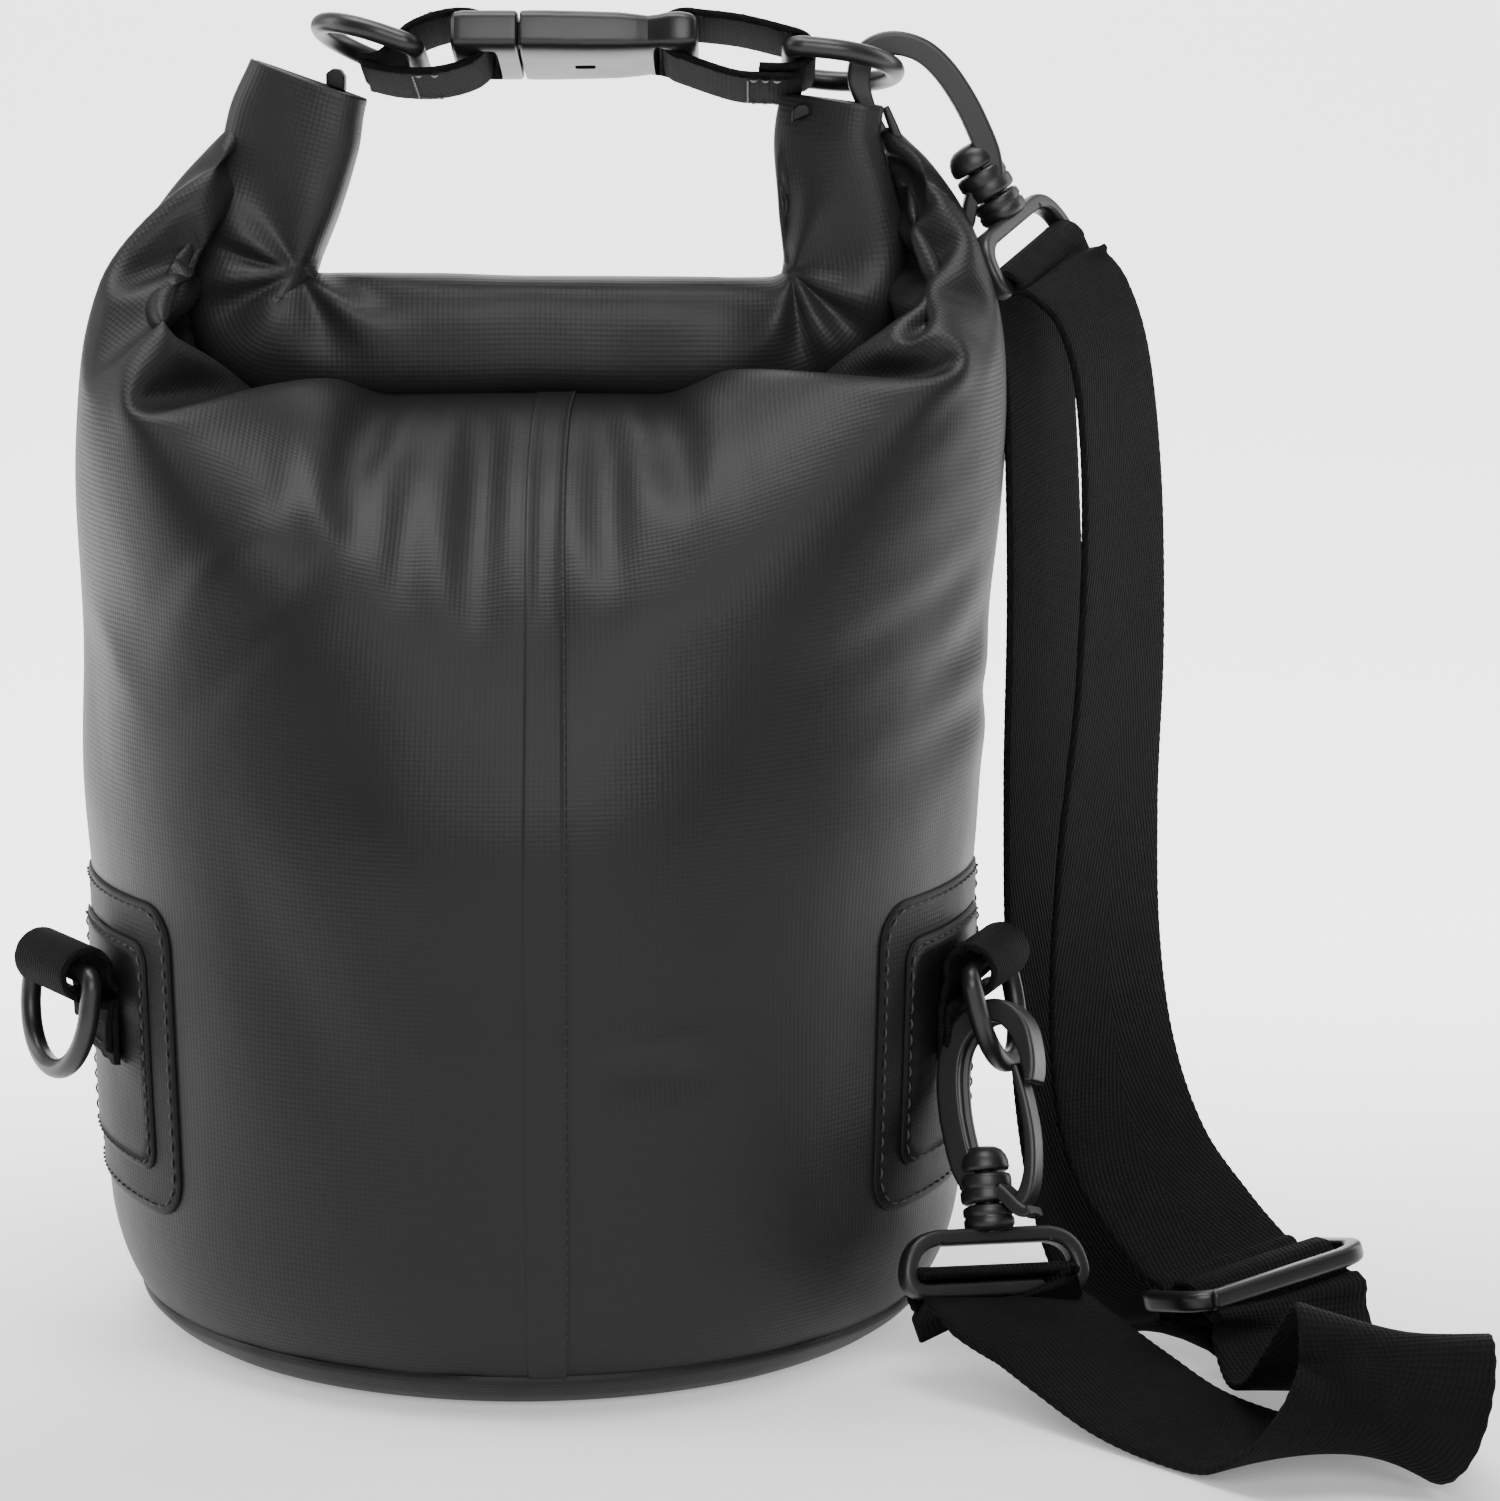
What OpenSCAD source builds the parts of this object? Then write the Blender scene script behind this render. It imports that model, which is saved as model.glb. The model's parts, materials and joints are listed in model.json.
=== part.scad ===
// Rope storage bag: roll-top dry bag with a buckled carry handle and a clip-on shoulder strap.
// Origin: centre of the round base on the floor. +Z up, front (seam side) faces -Y.

/* [Bag] */
// Radius of the straight side, carried down to the floor
base_r = 94.5; // [70:0.5:140]
// Radius of the flat round base panel, inside the rounded bottom edge
foot_r = 78; // [50:0.5:120]
// Height over which the bottom edge rounds in to the base panel
round_h = 34; // [5:1:60]
// Radius of the bag under the shoulder
top_r = 99.8; // [75:0.1:150]
// Height where the round tube ends and the shoulder starts
tube_h = 182; // [120:1:260]
// Modelled thickness of the coated fabric
wall = 1.2; // [0.6:0.1:2]
// Height of the hem band round the base
hem_h = 8; // [4:0.5:20]
// Width of the lapped seam down the front
seam_w = 9; // [6:0.5:20]
// Direction of the seam, measured round the bag from its front middle
seam_turn = 4; // [-10:0.5:10]

/* [Roll top] */
// Height of the rolled closure
roll_h = 28; // [18:0.5:40]
// Thickness of the rolled closure
roll_t = 16; // [8:0.5:30]
// Height of the underside of the roll
roll_z = 201.8; // [150:0.1:280]

/* [Handle] */
// Width of the handle webbing
handle_w = 25; // [20:1:30]
// Height of the buckle's centre plane
handle_z = 278.5; // [200:0.5:340]
// Roll of the handle about its length
handle_roll = -14; // [-30:1:30]
// Width of the buckle
buckle_w = 33.4; // [28:0.2:40]
// Thickness of the buckle
buckle_t = 9.6; // [7:0.1:14]

/* [Rings] */
// Thickness of the D-ring wire
ring_wire = 4.4; // [3:0.1:6]
// Centre-line half width of a D-ring
ring_half = 15; // [13:0.1:20]
// Straight leg between a D-ring's bar and its arc
ring_leg = 7.3; // [4:0.1:12]

/* [Shoulder strap] */
// Width of the strap webbing
strap_w = 38; // [25:1:50]
// Modelled thickness of the strap webbing
strap_t = 1.8; // [1.2:0.1:3]
// Thickness of a snap hook
hook_t = 8; // [6:0.5:12]

/* [Side patches] */
// Width of a side patch round the bag
patch_w = 68; // [40:1:100]
// Height of a side patch
patch_h = 68; // [40:1:100]
// Direction of the left patch round the bag
patch_left = 202; // [180:1:240]
// Direction of the right patch round the bag
patch_right = -20; // [-60:1:10]
// Turn of the left webbing eye away from square to its patch
left_twist = 11; // [0:1:20]

/* [Hidden] */
$fn = 64;
base_t = 1.6;
slope = (top_r - base_r) / (tube_h - base_t);
taper = atan(slope);
shade_bag = [0.20, 0.20, 0.21];
shade_web = [0.10, 0.10, 0.10];
shade_plastic = [0.14, 0.14, 0.15];
ear_pivot = [-60, 226];
ear_knuckle = 14.5;
ring_r = ring_wire / 2;
ring_elbow = 3;
anchor_z = 85.4;
anchor_r = 105.2;
anchor_r_left = 107;
anchor_tube = 6.2;
anchor_bore = 4.4;
hook_up_at = [99, 0, 249.3];
hook_up_tilt = -31.8;
hook_up_loop = 61.5;
hook_low_at = [98.2, -55.4, 39.2];
hook_low_turn = 103;
hook_low_tilt = 22.7;
hook_low_spin = 54.3;
hook_low_loop = 47;
ring_low_right_turn = -17;
ring_low_right_tilt = 75.6;
pin_r = 2.55;
pin_bore = 2.6;
eye_r = 4.75;
gate_foot = [-7.4, -4.6];

// radius of the bag's outer face at height z
function bag_r(z) = base_r + slope * (z - base_t);
// band of even thickness along an open 2D path
function side_of(p, i) = let(a = p[max(i - 1, 0)], b = p[min(i + 1, len(p) - 1)], d = b - a)
    [-d[1], d[0]] / norm(d);
function band(p, t) = concat([for (i = [0:len(p) - 1]) p[i] + side_of(p, i) * t / 2],
    [for (i = [len(p) - 1:-1:0]) p[i] - side_of(p, i) * t / 2]);
// unit vector
function unit(v) = v / norm(v);
// ring of four corners of a flat strap at point i of its route
function strap_ring(p, w, i) = let(a = p[max(i - 1, 0)], b = p[min(i + 1, len(p) - 1)], d = unit(b - a),
        u = unit(w[i] - d * (w[i] * d)), n = cross(d, u))
    [p[i] + u * strap_w / 2 + n * strap_t / 2, p[i] - u * strap_w / 2 + n * strap_t / 2,
     p[i] - u * strap_w / 2 - n * strap_t / 2, p[i] + u * strap_w / 2 - n * strap_t / 2];

// flat strap swept along route p with its width along w at every point
module strap(p, w) {
    n = len(p);
    pts = [for (i = [0:n - 1]) each strap_ring(p, w, i)];
    sides = [for (i = [0:n - 2]) each [for (k = [0:3])
        let(a = 4 * i + k, b = 4 * i + (k + 1) % 4) each [[a, b, b + 4], [a, b + 4, a + 4]]]];
    caps = [[3, 2, 1], [3, 1, 0], [4 * n - 4, 4 * n - 3, 4 * n - 2], [4 * n - 4, 4 * n - 2, 4 * n - 1]];
    polyhedron(points = pts, faces = concat(sides, caps), convexity = 6);
}

// plate that follows the bag's side, from height z0 to z1, direction a, width w
module side_plate(a, w, z0, z1, gap, t) {
    sweep = w / bag_r(anchor_z) * 180 / PI;
    rotate([0, 0, a - sweep / 2])
        rotate_extrude(angle = sweep, $fn = 128)
            polygon([[bag_r(z0) + gap, z0], [bag_r(z0) + gap + t, z0],
                [bag_r(z1) + gap + t, z1], [bag_r(z1) + gap, z1]]);
}

// upright slab with the outline drawn in the XZ plane, between y0 and y1
module slab(outline, y0, y1) {
    translate([0, y1, 0])
        rotate([90, 0, 0])
            linear_extrude(y1 - y0)
                polygon(outline);
}

// the handle's own frame
module on_handle() {
    translate([0, 0, handle_z])
        rotate([handle_roll, 0, 0])
            children();
}

// D-ring: straight bar along Y at the origin, arc towards +X
module d_ring() {
    rotate([90, 0, 0])
        cylinder(r = ring_r, h = 2 * (ring_half - ring_elbow), center = true, $fn = 32);
    for (s = [0, 1])
        mirror([0, s, 0]) {
            translate([ring_elbow, ring_half - ring_elbow, 0])
                rotate([0, 0, 90])
                    rotate_extrude(angle = 90, $fn = 48)
                        translate([ring_elbow, 0])
                            circle(r = ring_r, $fn = 32);
            translate([ring_elbow, ring_half, 0])
                rotate([0, 90, 0])
                    cylinder(r = ring_r, h = ring_leg - ring_elbow, $fn = 32);
        }
    translate([ring_leg, 0, 0])
        rotate([0, 0, -90])
            rotate_extrude(angle = 180, $fn = 64)
                translate([ring_half, 0])
                    circle(r = ring_r, $fn = 32);
}

// ---- bag ----

// point of the rounded bottom edge at angle q, moved outward by d
function bottom_at(q, d) = [foot_r + (bag_r(round_h) - foot_r) * sin(q) + d * sin(q),
    base_t + (round_h - base_t) * (1 - cos(q)) - d * cos(q)];
// angle on the rounded edge where the hem band ends
function hem_end() = acos(1 - (hem_h - base_t) / (round_h - base_t));
// angles along the rounded edge: four steps over the hem, five more up to the straight side
function edge_steps() = concat([for (i = [0:4]) hem_end() * i / 4], [for (i = [1:5]) hem_end() + (90 - hem_end()) * i / 5]);

module base_disc() {
    color(shade_bag)
        cylinder(r = foot_r, h = base_t, $fn = 128);
}

module base_hem() {
    color(shade_bag)
        rotate_extrude($fn = 128)
            polygon(concat([for (i = [0:4]) bottom_at(edge_steps()[i], 1)], [for (i = [4:-1:0]) bottom_at(edge_steps()[i], 0)]));
}

module shoulder_form(inset) {
    hull() {
        translate([0, 0, tube_h - 0.4])
            cylinder(r = top_r - inset, h = 0.4, $fn = 48);
        translate([1 - 73 + inset, -7 + inset, roll_z - 1.4 - inset])
            cube([146 - 2 * inset, 14 - 2 * inset, 1]);
    }
}

module shoulder_wing(x_low, x0, x1, z_top) {
    hull() {
        translate([x_low, 0, tube_h - 0.4])
            cylinder(r = 38, h = 0.4, $fn = 32);
        translate([x0, -5, z_top - 3])
            cube([x1 - x0, 10, 3]);
    }
}

module bag_shell() {
    color(shade_bag)
        difference() {
            union() {
                rotate_extrude($fn = 128)
                    polygon(concat([for (i = [0:9]) bottom_at(edge_steps()[i], 0)], [[top_r, tube_h], [top_r - wall, tube_h]],
                        [for (i = [9:-1:0]) bottom_at(edge_steps()[i], -wall)]));
                shoulder_form(0);
                difference() {
                    shoulder_wing(-60.5, -96, -77.5, 218);
                    translate([-77.4, -50, roll_z - 1])
                        cube([300, 100, 100]);
                }
                difference() {
                    shoulder_wing(61, 76, 96, 222);
                    translate([-224.2, -50, roll_z - 1])
                        cube([300, 100, 100]);
                }
            }
            shoulder_form(wall);
            translate([-68, -4, roll_z - 6])
                cube([138, 8, 10]);
            translate([-77.4, -50, roll_z - 0.2])
                cube([153.3, 100, 100]);
        }
}

module front_seam() {
    sweep = seam_w / top_r * 180 / PI;
    color(shade_bag)
        rotate([0, 0, seam_turn - 90 - sweep / 2])
            rotate_extrude(angle = sweep, $fn = 128)
                polygon([[bag_r(round_h + 1), round_h + 1], [bag_r(round_h + 1) + 0.7, round_h + 1], [top_r + 0.7, tube_h - 1],
                    [bag_r(tube_h - 1), tube_h - 1]]);
}

module roll_top() {
    color(shade_bag)
        difference() {
            translate([-66, 0, roll_z + roll_h / 2])
                rotate([90, 0, 90])
                    linear_extrude(132) {
                        square([roll_t, roll_h - roll_t], center = true);
                        for (s = [-1, 1])
                            translate([0, s * (roll_h - roll_t) / 2])
                                circle(d = roll_t);
                    }
            translate([ear_pivot[0], 0, ear_pivot[1]])
                rotate([90, 0, 0])
                    cylinder(r = ear_knuckle + 0.8, h = 40, center = true);
            translate([-80, -20, roll_z + 6])
                cube([20, 40, 40]);
        }
}

module ear_left() {
    color(shade_bag) {
        translate([ear_pivot[0], 0, ear_pivot[1]])
            rotate([90, 0, 0])
                cylinder(r = ear_knuckle, h = 13, center = true);
        slab([[-74, 224], [-80, 236], [-67, 258], [-57.5, 275], [-39, 268.5], [-42, 252], [-46.2, 232]], -6.5, 6.5);
    }
}

module ear_right() {
    color(shade_bag) {
        slab([[66.2, 202.2], [66.2, 230], [52.5, 247], [56.5, 262], [61, 264], [66, 262], [68, 240], [75.4, 222.3], [75.8, 202.2]], -6.5, 7);
        slab([[76, 222.4], [66, 226], [60, 240], [62, 262], [66, 264], [76.5, 265.5], [86, 246], [93, 232], [97, 222.4]], 7, 13);
    }
}

module lip_strip_left() {
    color(shade_bag)
        slab([[-43.4, 270.1], [-43.4, 272.6], [-42, 273.6], [-40.4, 273.4], [-39.4, 272], [-39.4, 268.7]], -3, 3);
}

module lip_strip_right() {
    color(shade_bag)
        slab([[57, 262.3], [57, 265], [58.4, 266.2], [60, 266.2], [61, 265], [61, 264]], -6.4, -3);
}

// ---- handle ----

module web_path(path) {
    translate([0, handle_w / 2, 0])
        rotate([90, 0, 0])
            linear_extrude(handle_w)
                polygon(band(path, 1.7));
}

module handle_web_left() {
    color(shade_web)
        on_handle()
            web_path([[-36.5, -7.3], [-28, -8], [-20, -8.2], [-13, -6.6], [-9.2, -4], [-8.4, 0], [-9.4, 3.6],
                [-13.5, 4.6], [-19, 3.8], [-25, 1.2], [-29.5, -3.6], [-32.5, -5.5], [-36.5, -5.5]]);
}

module handle_web_right() {
    color(shade_web)
        on_handle()
            web_path([[50, -7.2], [56, -7.3], [60.2, -6.2], [61.4, -3.4], [59.7, -0.6], [55, 1], [46, 3.2], [38, 4.2],
                [33.8, 4.6], [30.6, 3.4], [29.5, 0], [30.6, -3.6], [35, -5.6], [44, -8.6], [50, -9.3], [59, -9.4]]);
}

module buckle_block(x0, x1, w, t, r) {
    translate([x0, 0, 0])
        rotate([90, 0, 90])
            linear_extrude(x1 - x0) {
                square([w - 2 * r, t], center = true);
                square([w, t - 2 * r], center = true);
                for (a = [-1, 1], b = [-1, 1])
                    translate([a * (w / 2 - r), b * (t / 2 - r)])
                        circle(r = r, $fn = 24);
            }
}

module buckle_male() {
    color(shade_plastic)
        on_handle() {
            difference() {
                buckle_block(-15.7, -1.4, buckle_w - 0.4, buckle_t, 2.4);
                translate([-10.8, -13.2, -10])
                    cube([5, 26.4, 20]);
                for (s = [-1, 1])
                    translate([-17, -13.2, s > 0 ? 3 : -13])
                        cube([7, 26.4, 10]);
                for (s = [-1, 1])
                    translate([-3, s * 9.2 - 3, -3.2])
                        cube([6, 6, 6.4]);
            }
            translate([-1.6, -3, -1.6])
                cube([19, 6, 3.2]);
        }
}

// sprung prong on the +Y side, turning about its round root
module prong() {
    translate([-1.2, 9.2, 0])
        cylinder(r = 1.7, h = 5, center = true, $fn = 32);
    translate([0, 0, -2.5])
        linear_extrude(5)
            polygon([[-1.2, 8], [9, 10.4], [16, 10.8], [22.5, 9.6], [23.4, 10.6], [22.4, 13], [17, 15.3],
                [9.4, 15.4], [8.9, 12.8], [-1.2, 10.6]]);
}

module prong_front() {
    color(shade_plastic)
        on_handle()
            mirror([0, 1, 0])
                prong();
}

module prong_rear() {
    color(shade_plastic)
        on_handle()
            prong();
}

module buckle_female() {
    color(shade_plastic)
        on_handle()
            difference() {
                buckle_block(-1, 36.8, buckle_w, buckle_t, 2.4);
                translate([-2, -15.8, -3.3])
                    cube([26.6, 31.6, 6.6]);
                translate([8.2, -20, -3.3])
                    cube([15.4, 40, 6.6]);
                translate([27.4, -13.2, -10])
                    cube([4.4, 26.4, 20]);
                for (s = [-1, 1])
                    translate([31, -13.2, s > 0 ? 3 : -13])
                        cube([7, 26.4, 10]);
            }
}

module ring_upper_left() {
    color(shade_plastic)
        on_handle()
            translate([-23.5, 0, -3.4])
                rotate([0, -19, 180])
                    d_ring();
}

module ring_upper_right() {
    color(shade_plastic)
        on_handle()
            translate([57, 0, -3.4])
                rotate([0, 6, 0])
                    d_ring();
}

// ---- side patches and their rings ----

module patch_left_outer() {
    color(shade_bag)
        side_plate(patch_left, patch_w, 34, 34 + patch_h, 0, 0.8);
}

module patch_left_inner() {
    color(shade_bag)
        side_plate(patch_left, patch_w - 18, 43, 25 + patch_h, 0.8, 0.6);
}

module patch_right_outer() {
    color(shade_bag)
        side_plate(patch_right, patch_w, 34, 34 + patch_h, 0, 0.8);
}

module patch_right_inner() {
    color(shade_bag)
        side_plate(patch_right, patch_w - 18, 43, 25 + patch_h, 0.8, 0.6);
}

// webbing eye that holds a D-ring on a patch, with its tail sewn below
module anchor(a, r, twist) {
    side_plate(a, handle_w, 70, anchor_z - 2, 1.4, 1.6);
    rotate([0, 0, a])
        difference() {
            union() {
                translate([r, 0, anchor_z])
                    rotate([90, 0, twist])
                        cylinder(r = anchor_tube, h = handle_w, center = true, $fn = 48);
                translate([bag_r(anchor_z) + 1.45, -handle_w / 2, anchor_z - 4])
                    cube([r - anchor_r + 3, handle_w, 8]);
            }
            translate([r, 0, anchor_z])
                rotate([90, 0, twist])
                    cylinder(r = anchor_bore, h = 60, center = true, $fn = 48);
            rotate([0, 0, -a])
                cylinder(r = bag_r(anchor_z) + 1.42, h = 200, $fn = 128);
        }
}

module anchor_left() {
    color(shade_web)
        anchor(patch_left, anchor_r_left, left_twist);
}

module anchor_right() {
    color(shade_web)
        anchor(patch_right, anchor_r, 0);
}

module ring_lower_left() {
    color(shade_plastic)
        rotate([0, 0, patch_left])
            translate([anchor_r_left, 0, anchor_z - 1])
                rotate([0, 82, left_twist])
                    d_ring();
}

module ring_lower_right() {
    color(shade_plastic)
        rotate([0, 0, patch_right])
            translate([anchor_r, 0, anchor_z - 1])
                rotate([0, 0, ring_low_right_turn - patch_right])
                    rotate([0, ring_low_right_tilt, 0])
                        d_ring();
}

// ---- snap hooks, drawn in the XZ plane with the swivel axis along Z ----

module hook_form() {
    difference() {
        union() {
            rotate([90, 0, 0])
                linear_extrude(hook_t, center = true)
                    polygon([[3, -3.4], [6.2, -1], [7.4, 8], [8, 18], [7.4, 27], [5, 33], [0.5, 38], [-4, 40],
                        [-8.5, 39.8], [-12.5, 36.5], [-14.8, 31], [-15, 25], [-14, 20.4], [-12, 20.8], [-11.6, 27],
                        [-10.4, 31.4], [-8, 34.6], [-4.5, 35.4], [-0.8, 33.2], [2, 28], [2.8, 20], [2.4, 10], [0, 5.4], [0, -3.4]]);
            translate([0, 0, -3.4])
                cylinder(r = 5.6, h = 6.4, $fn = 48);
            rotate([90, 0, 0])
                linear_extrude(hook_t, center = true)
                    polygon([[-11, -6.4], [-7, -8], [-3, -3.4], [-3, 2], [-5.4, 2], [-6.6, -1.6], [-11, -4.6]]);
        }
        translate([0, 0, -20])
            cylinder(r = pin_bore, h = 40, $fn = 48);
        translate([0, 0, 3])
            cylinder(r = 6.6, h = 6.6, $fn = 48);
        translate([0, 0, -12.4])
            cylinder(r = 6.4, h = 9, $fn = 48);
        translate([gate_foot[0], 0, gate_foot[1]])
            rotate([90, 0, 0])
                cylinder(r = 2.1, h = 20, center = true, $fn = 32);
        translate([gate_foot[0] - 8, -10, gate_foot[1]])
            rotate([0, 10, 0])
                cube([9.6, 20, 20]);
    }
}

module gate_form() {
    translate([gate_foot[0], 0, gate_foot[1]])
        rotate([90, 0, 0])
            cylinder(r = 1.7, h = hook_t - 2, center = true, $fn = 32);
    rotate([90, 0, 0])
        linear_extrude(hook_t - 2, center = true)
            polygon([[-9, -5], [-12, 2], [-13, 10], [-12.4, 18], [-10.9, 25.4], [-9, 25.2], [-10.1, 18], [-10.7, 10], [-10, 2.6], [-6.6, -3.2]]);
}

module swivel_form() {
    translate([0, 0, -9])
        cylinder(r = pin_r, h = 14, $fn = 48);
    translate([0, 0, 3.3])
        cylinder(r = 5.4, h = 2, $fn = 48);
    translate([0, 0, 5.3])
        intersection() {
            sphere(r = 5.4, $fn = 48);
            cylinder(r = 6, h = 3.6, $fn = 48);
        }
    translate([0, 0, -8.6])
        cylinder(r = 5.4, h = 4.9, $fn = 48);
    difference() {
        translate([0, 0, -15.9])
            rotate([90, 0, 0])
                linear_extrude(4.4, center = true) {
                    square([47, 9.6], center = true);
                    square([42, 14.6], center = true);
                    for (a = [-1, 1], b = [-1, 1])
                        translate([a * 21, b * 4.8])
                            circle(r = 2.5, $fn = 32);
                }
        translate([-19.4, -10, -19.6])
            cube([38.8, 20, 8]);
    }
}

module at_hook_up() {
    translate(hook_up_at)
        rotate([0, hook_up_tilt, 0])
            children();
}

module at_hook_low() {
    translate(hook_low_at)
        rotate([0, 0, hook_low_turn])
            rotate([0, hook_low_tilt, 0])
                rotate([0, 0, hook_low_spin])
                    children();
}

module swivel_upper() {
    color(shade_plastic)
        at_hook_up()
            rotate([0, 0, hook_up_loop])
                swivel_form();
}

module hook_upper() {
    color(shade_plastic)
        at_hook_up()
            hook_form();
}

module gate_upper() {
    color(shade_plastic)
        at_hook_up()
            gate_form();
}

module swivel_lower() {
    color(shade_plastic)
        at_hook_low()
            rotate([0, 0, hook_low_loop])
                swivel_form();
}

module hook_lower() {
    color(shade_plastic)
        at_hook_low()
            hook_form();
}

module gate_lower() {
    color(shade_plastic)
        at_hook_low()
            gate_form();
}

// ---- shoulder strap ----

front_route = [[117, -3.5, 229.5], [122.5, -5, 223], [127, -5, 208], [129.5, -5, 180], [129.5, -6, 144],
    [127.5, -7, 110], [127, -9, 80], [129, -13, 56], [134, -21, 38], [142, -33, 27], [149, -43.5, 23.4]];
front_across = [[0.40, 0.87, 0.25], [0.44, 0.86, 0.20], [0.48, 0.86, 0.10], [0.52, 0.85, 0], [0.55, 0.83, 0],
    [0.58, 0.81, 0], [0.62, 0.78, 0], [0.66, 0.74, 0.04], [0.72, 0.68, 0.06], [0.80, 0.58, 0.10], [0.83, 0.52, 0.10]];
rear_route = [[109.2, 0, 224.4], [110.2, 2, 214], [112, 4, 196], [113.5, 6, 160], [114, 6, 120], [115.5, 4, 84],
    [119, -2, 52], [124.5, -12, 27], [132, -24, 11], [140, -35, 7.4], [147, -45.6, 10.4]];
rear_across = [[0.40, 0.87, 0.25], [0.42, 0.87, 0.18], [0.46, 0.87, 0.08], [0.50, 0.86, 0], [0.52, 0.85, 0], [0.56, 0.83, 0],
    [0.60, 0.80, 0], [0.66, 0.75, 0], [0.74, 0.66, 0], [0.80, 0.59, 0.04], [0.83, 0.52, 0.10]];
floor_route = [[163.5, -67, 10.6], [165.5, -80, 5.6], [168, -95, 8], [170.5, -108, 16], [172.5, -119, 25], [173.6, -126.5, 30],
    [174.2, -132.5, 29.6], [173.8, -137, 24.6], [171.5, -138.6, 17.6], [167, -136, 11.4], [160.5, -128.5, 6.6], [152, -118, 3],
    [142, -107, 2], [131.5, -96, 3.4], [121, -85, 8], [111.5, -74.5, 12.6], [107.5, -66.8, 15.5]];
floor_across = [[0.86, 0.46, 0.08], [0.95, 0.22, 0], [0.98, -0.06, -0.06], [0.96, -0.22, -0.10], [0.94, -0.30, -0.12], [0.93, -0.33, -0.12],
    [0.93, -0.34, -0.12], [0.93, -0.32, -0.16], [0.93, -0.22, -0.24], [0.92, 0.06, -0.26], [0.86, 0.42, -0.14], [0.78, 0.60, 0.02],
    [0.75, 0.65, 0.02], [0.76, 0.64, 0], [0.80, 0.60, -0.02], [0.86, 0.50, -0.06], [0.90, 0.42, -0.07]];
slider_at = [156, -53, 18.6];

// the strap's end sewn round the lower bar of a swivel's loop
module strap_eye() {
    translate([0, 0, -21.4])
        rotate([0, 90, 0])
            difference() {
                cylinder(r = eye_r, h = strap_w, center = true, $fn = 48);
                cylinder(r = eye_r - strap_t, h = strap_w + 2, center = true, $fn = 48);
            }
}

module strap_eye_upper() {
    color(shade_web)
        at_hook_up()
            rotate([0, 0, hook_up_loop])
                strap_eye();
}

module strap_eye_lower() {
    color(shade_web)
        at_hook_low()
            rotate([0, 0, hook_low_loop])
                strap_eye();
}

module strap_run_front() {
    color(shade_web)
        strap(front_route, front_across);
}

module strap_run_rear() {
    color(shade_web)
        strap(rear_route, rear_across);
}

module strap_floor_loop() {
    color(shade_web)
        strap(floor_route, floor_across);
}

module slider() {
    color(shade_plastic)
        translate(slider_at)
            rotate([0, 0, 32])
                rotate([-14, -6, 0])
                    difference() {
                        linear_extrude(4.2, center = true) {
                            square([49, 19], center = true);
                            square([44, 24], center = true);
                            for (a = [-1, 1], b = [-1, 1])
                                translate([a * 22, b * 9.5])
                                    circle(r = 2.5, $fn = 32);
                        }
                        for (s = [-1, 1])
                            translate([-19.7, s * 5.6 - 2.8, -5])
                                cube([39.4, 5.6, 10]);
                    }
}

base_disc();
base_hem();
bag_shell();
front_seam();
roll_top();
ear_left();
ear_right();
lip_strip_left();
lip_strip_right();
handle_web_left();
handle_web_right();
buckle_male();
prong_front();
prong_rear();
buckle_female();
ring_upper_left();
ring_upper_right();
patch_left_outer();
patch_left_inner();
patch_right_outer();
patch_right_inner();
anchor_left();
anchor_right();
ring_lower_left();
ring_lower_right();
swivel_upper();
hook_upper();
gate_upper();
swivel_lower();
hook_lower();
gate_lower();
strap_eye_upper();
strap_run_front();
strap_run_rear();
strap_floor_loop();
strap_eye_lower();
slider();
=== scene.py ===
"""Rope storage bag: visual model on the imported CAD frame. Millimetres until a mesh is made."""

import json

import bpy
import numpy as np
from mathutils import Matrix, Vector


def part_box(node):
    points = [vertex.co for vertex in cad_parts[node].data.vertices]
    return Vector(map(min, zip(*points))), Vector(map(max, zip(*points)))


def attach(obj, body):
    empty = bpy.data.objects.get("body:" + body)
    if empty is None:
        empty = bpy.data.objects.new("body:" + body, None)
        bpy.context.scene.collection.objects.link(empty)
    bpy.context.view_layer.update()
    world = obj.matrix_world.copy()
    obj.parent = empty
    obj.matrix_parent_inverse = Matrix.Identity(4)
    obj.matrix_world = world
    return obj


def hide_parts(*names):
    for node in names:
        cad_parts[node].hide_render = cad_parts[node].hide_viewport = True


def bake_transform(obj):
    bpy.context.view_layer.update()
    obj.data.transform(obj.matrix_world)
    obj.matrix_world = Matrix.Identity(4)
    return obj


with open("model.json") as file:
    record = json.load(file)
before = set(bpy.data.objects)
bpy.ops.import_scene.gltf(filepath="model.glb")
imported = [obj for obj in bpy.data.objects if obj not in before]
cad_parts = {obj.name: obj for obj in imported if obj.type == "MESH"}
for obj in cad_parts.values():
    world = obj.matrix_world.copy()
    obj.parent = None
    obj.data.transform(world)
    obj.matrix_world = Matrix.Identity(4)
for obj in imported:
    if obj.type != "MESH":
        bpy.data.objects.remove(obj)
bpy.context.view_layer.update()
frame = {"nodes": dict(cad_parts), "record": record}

MM = 0.001
JOINTS = {j["name"]: j for j in frame["record"]["behaviour"]["joints"]}


def box_mm(node):
    """Lowest and highest corner of a CAD node in millimetres."""
    lo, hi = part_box(node)
    return np.array(lo, float) / MM, np.array(hi, float) / MM


def joint_at(name):
    """A joint's position in millimetres and its unit axis."""
    j = JOINTS[name]
    axis = np.array(j["axis"], float)
    return np.array(j["pos_m"], float) / MM, axis / np.linalg.norm(axis)


# ---- sizes: boxes and joints are read from the frame, plain numbers repeat what the CAD source says ----

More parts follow.
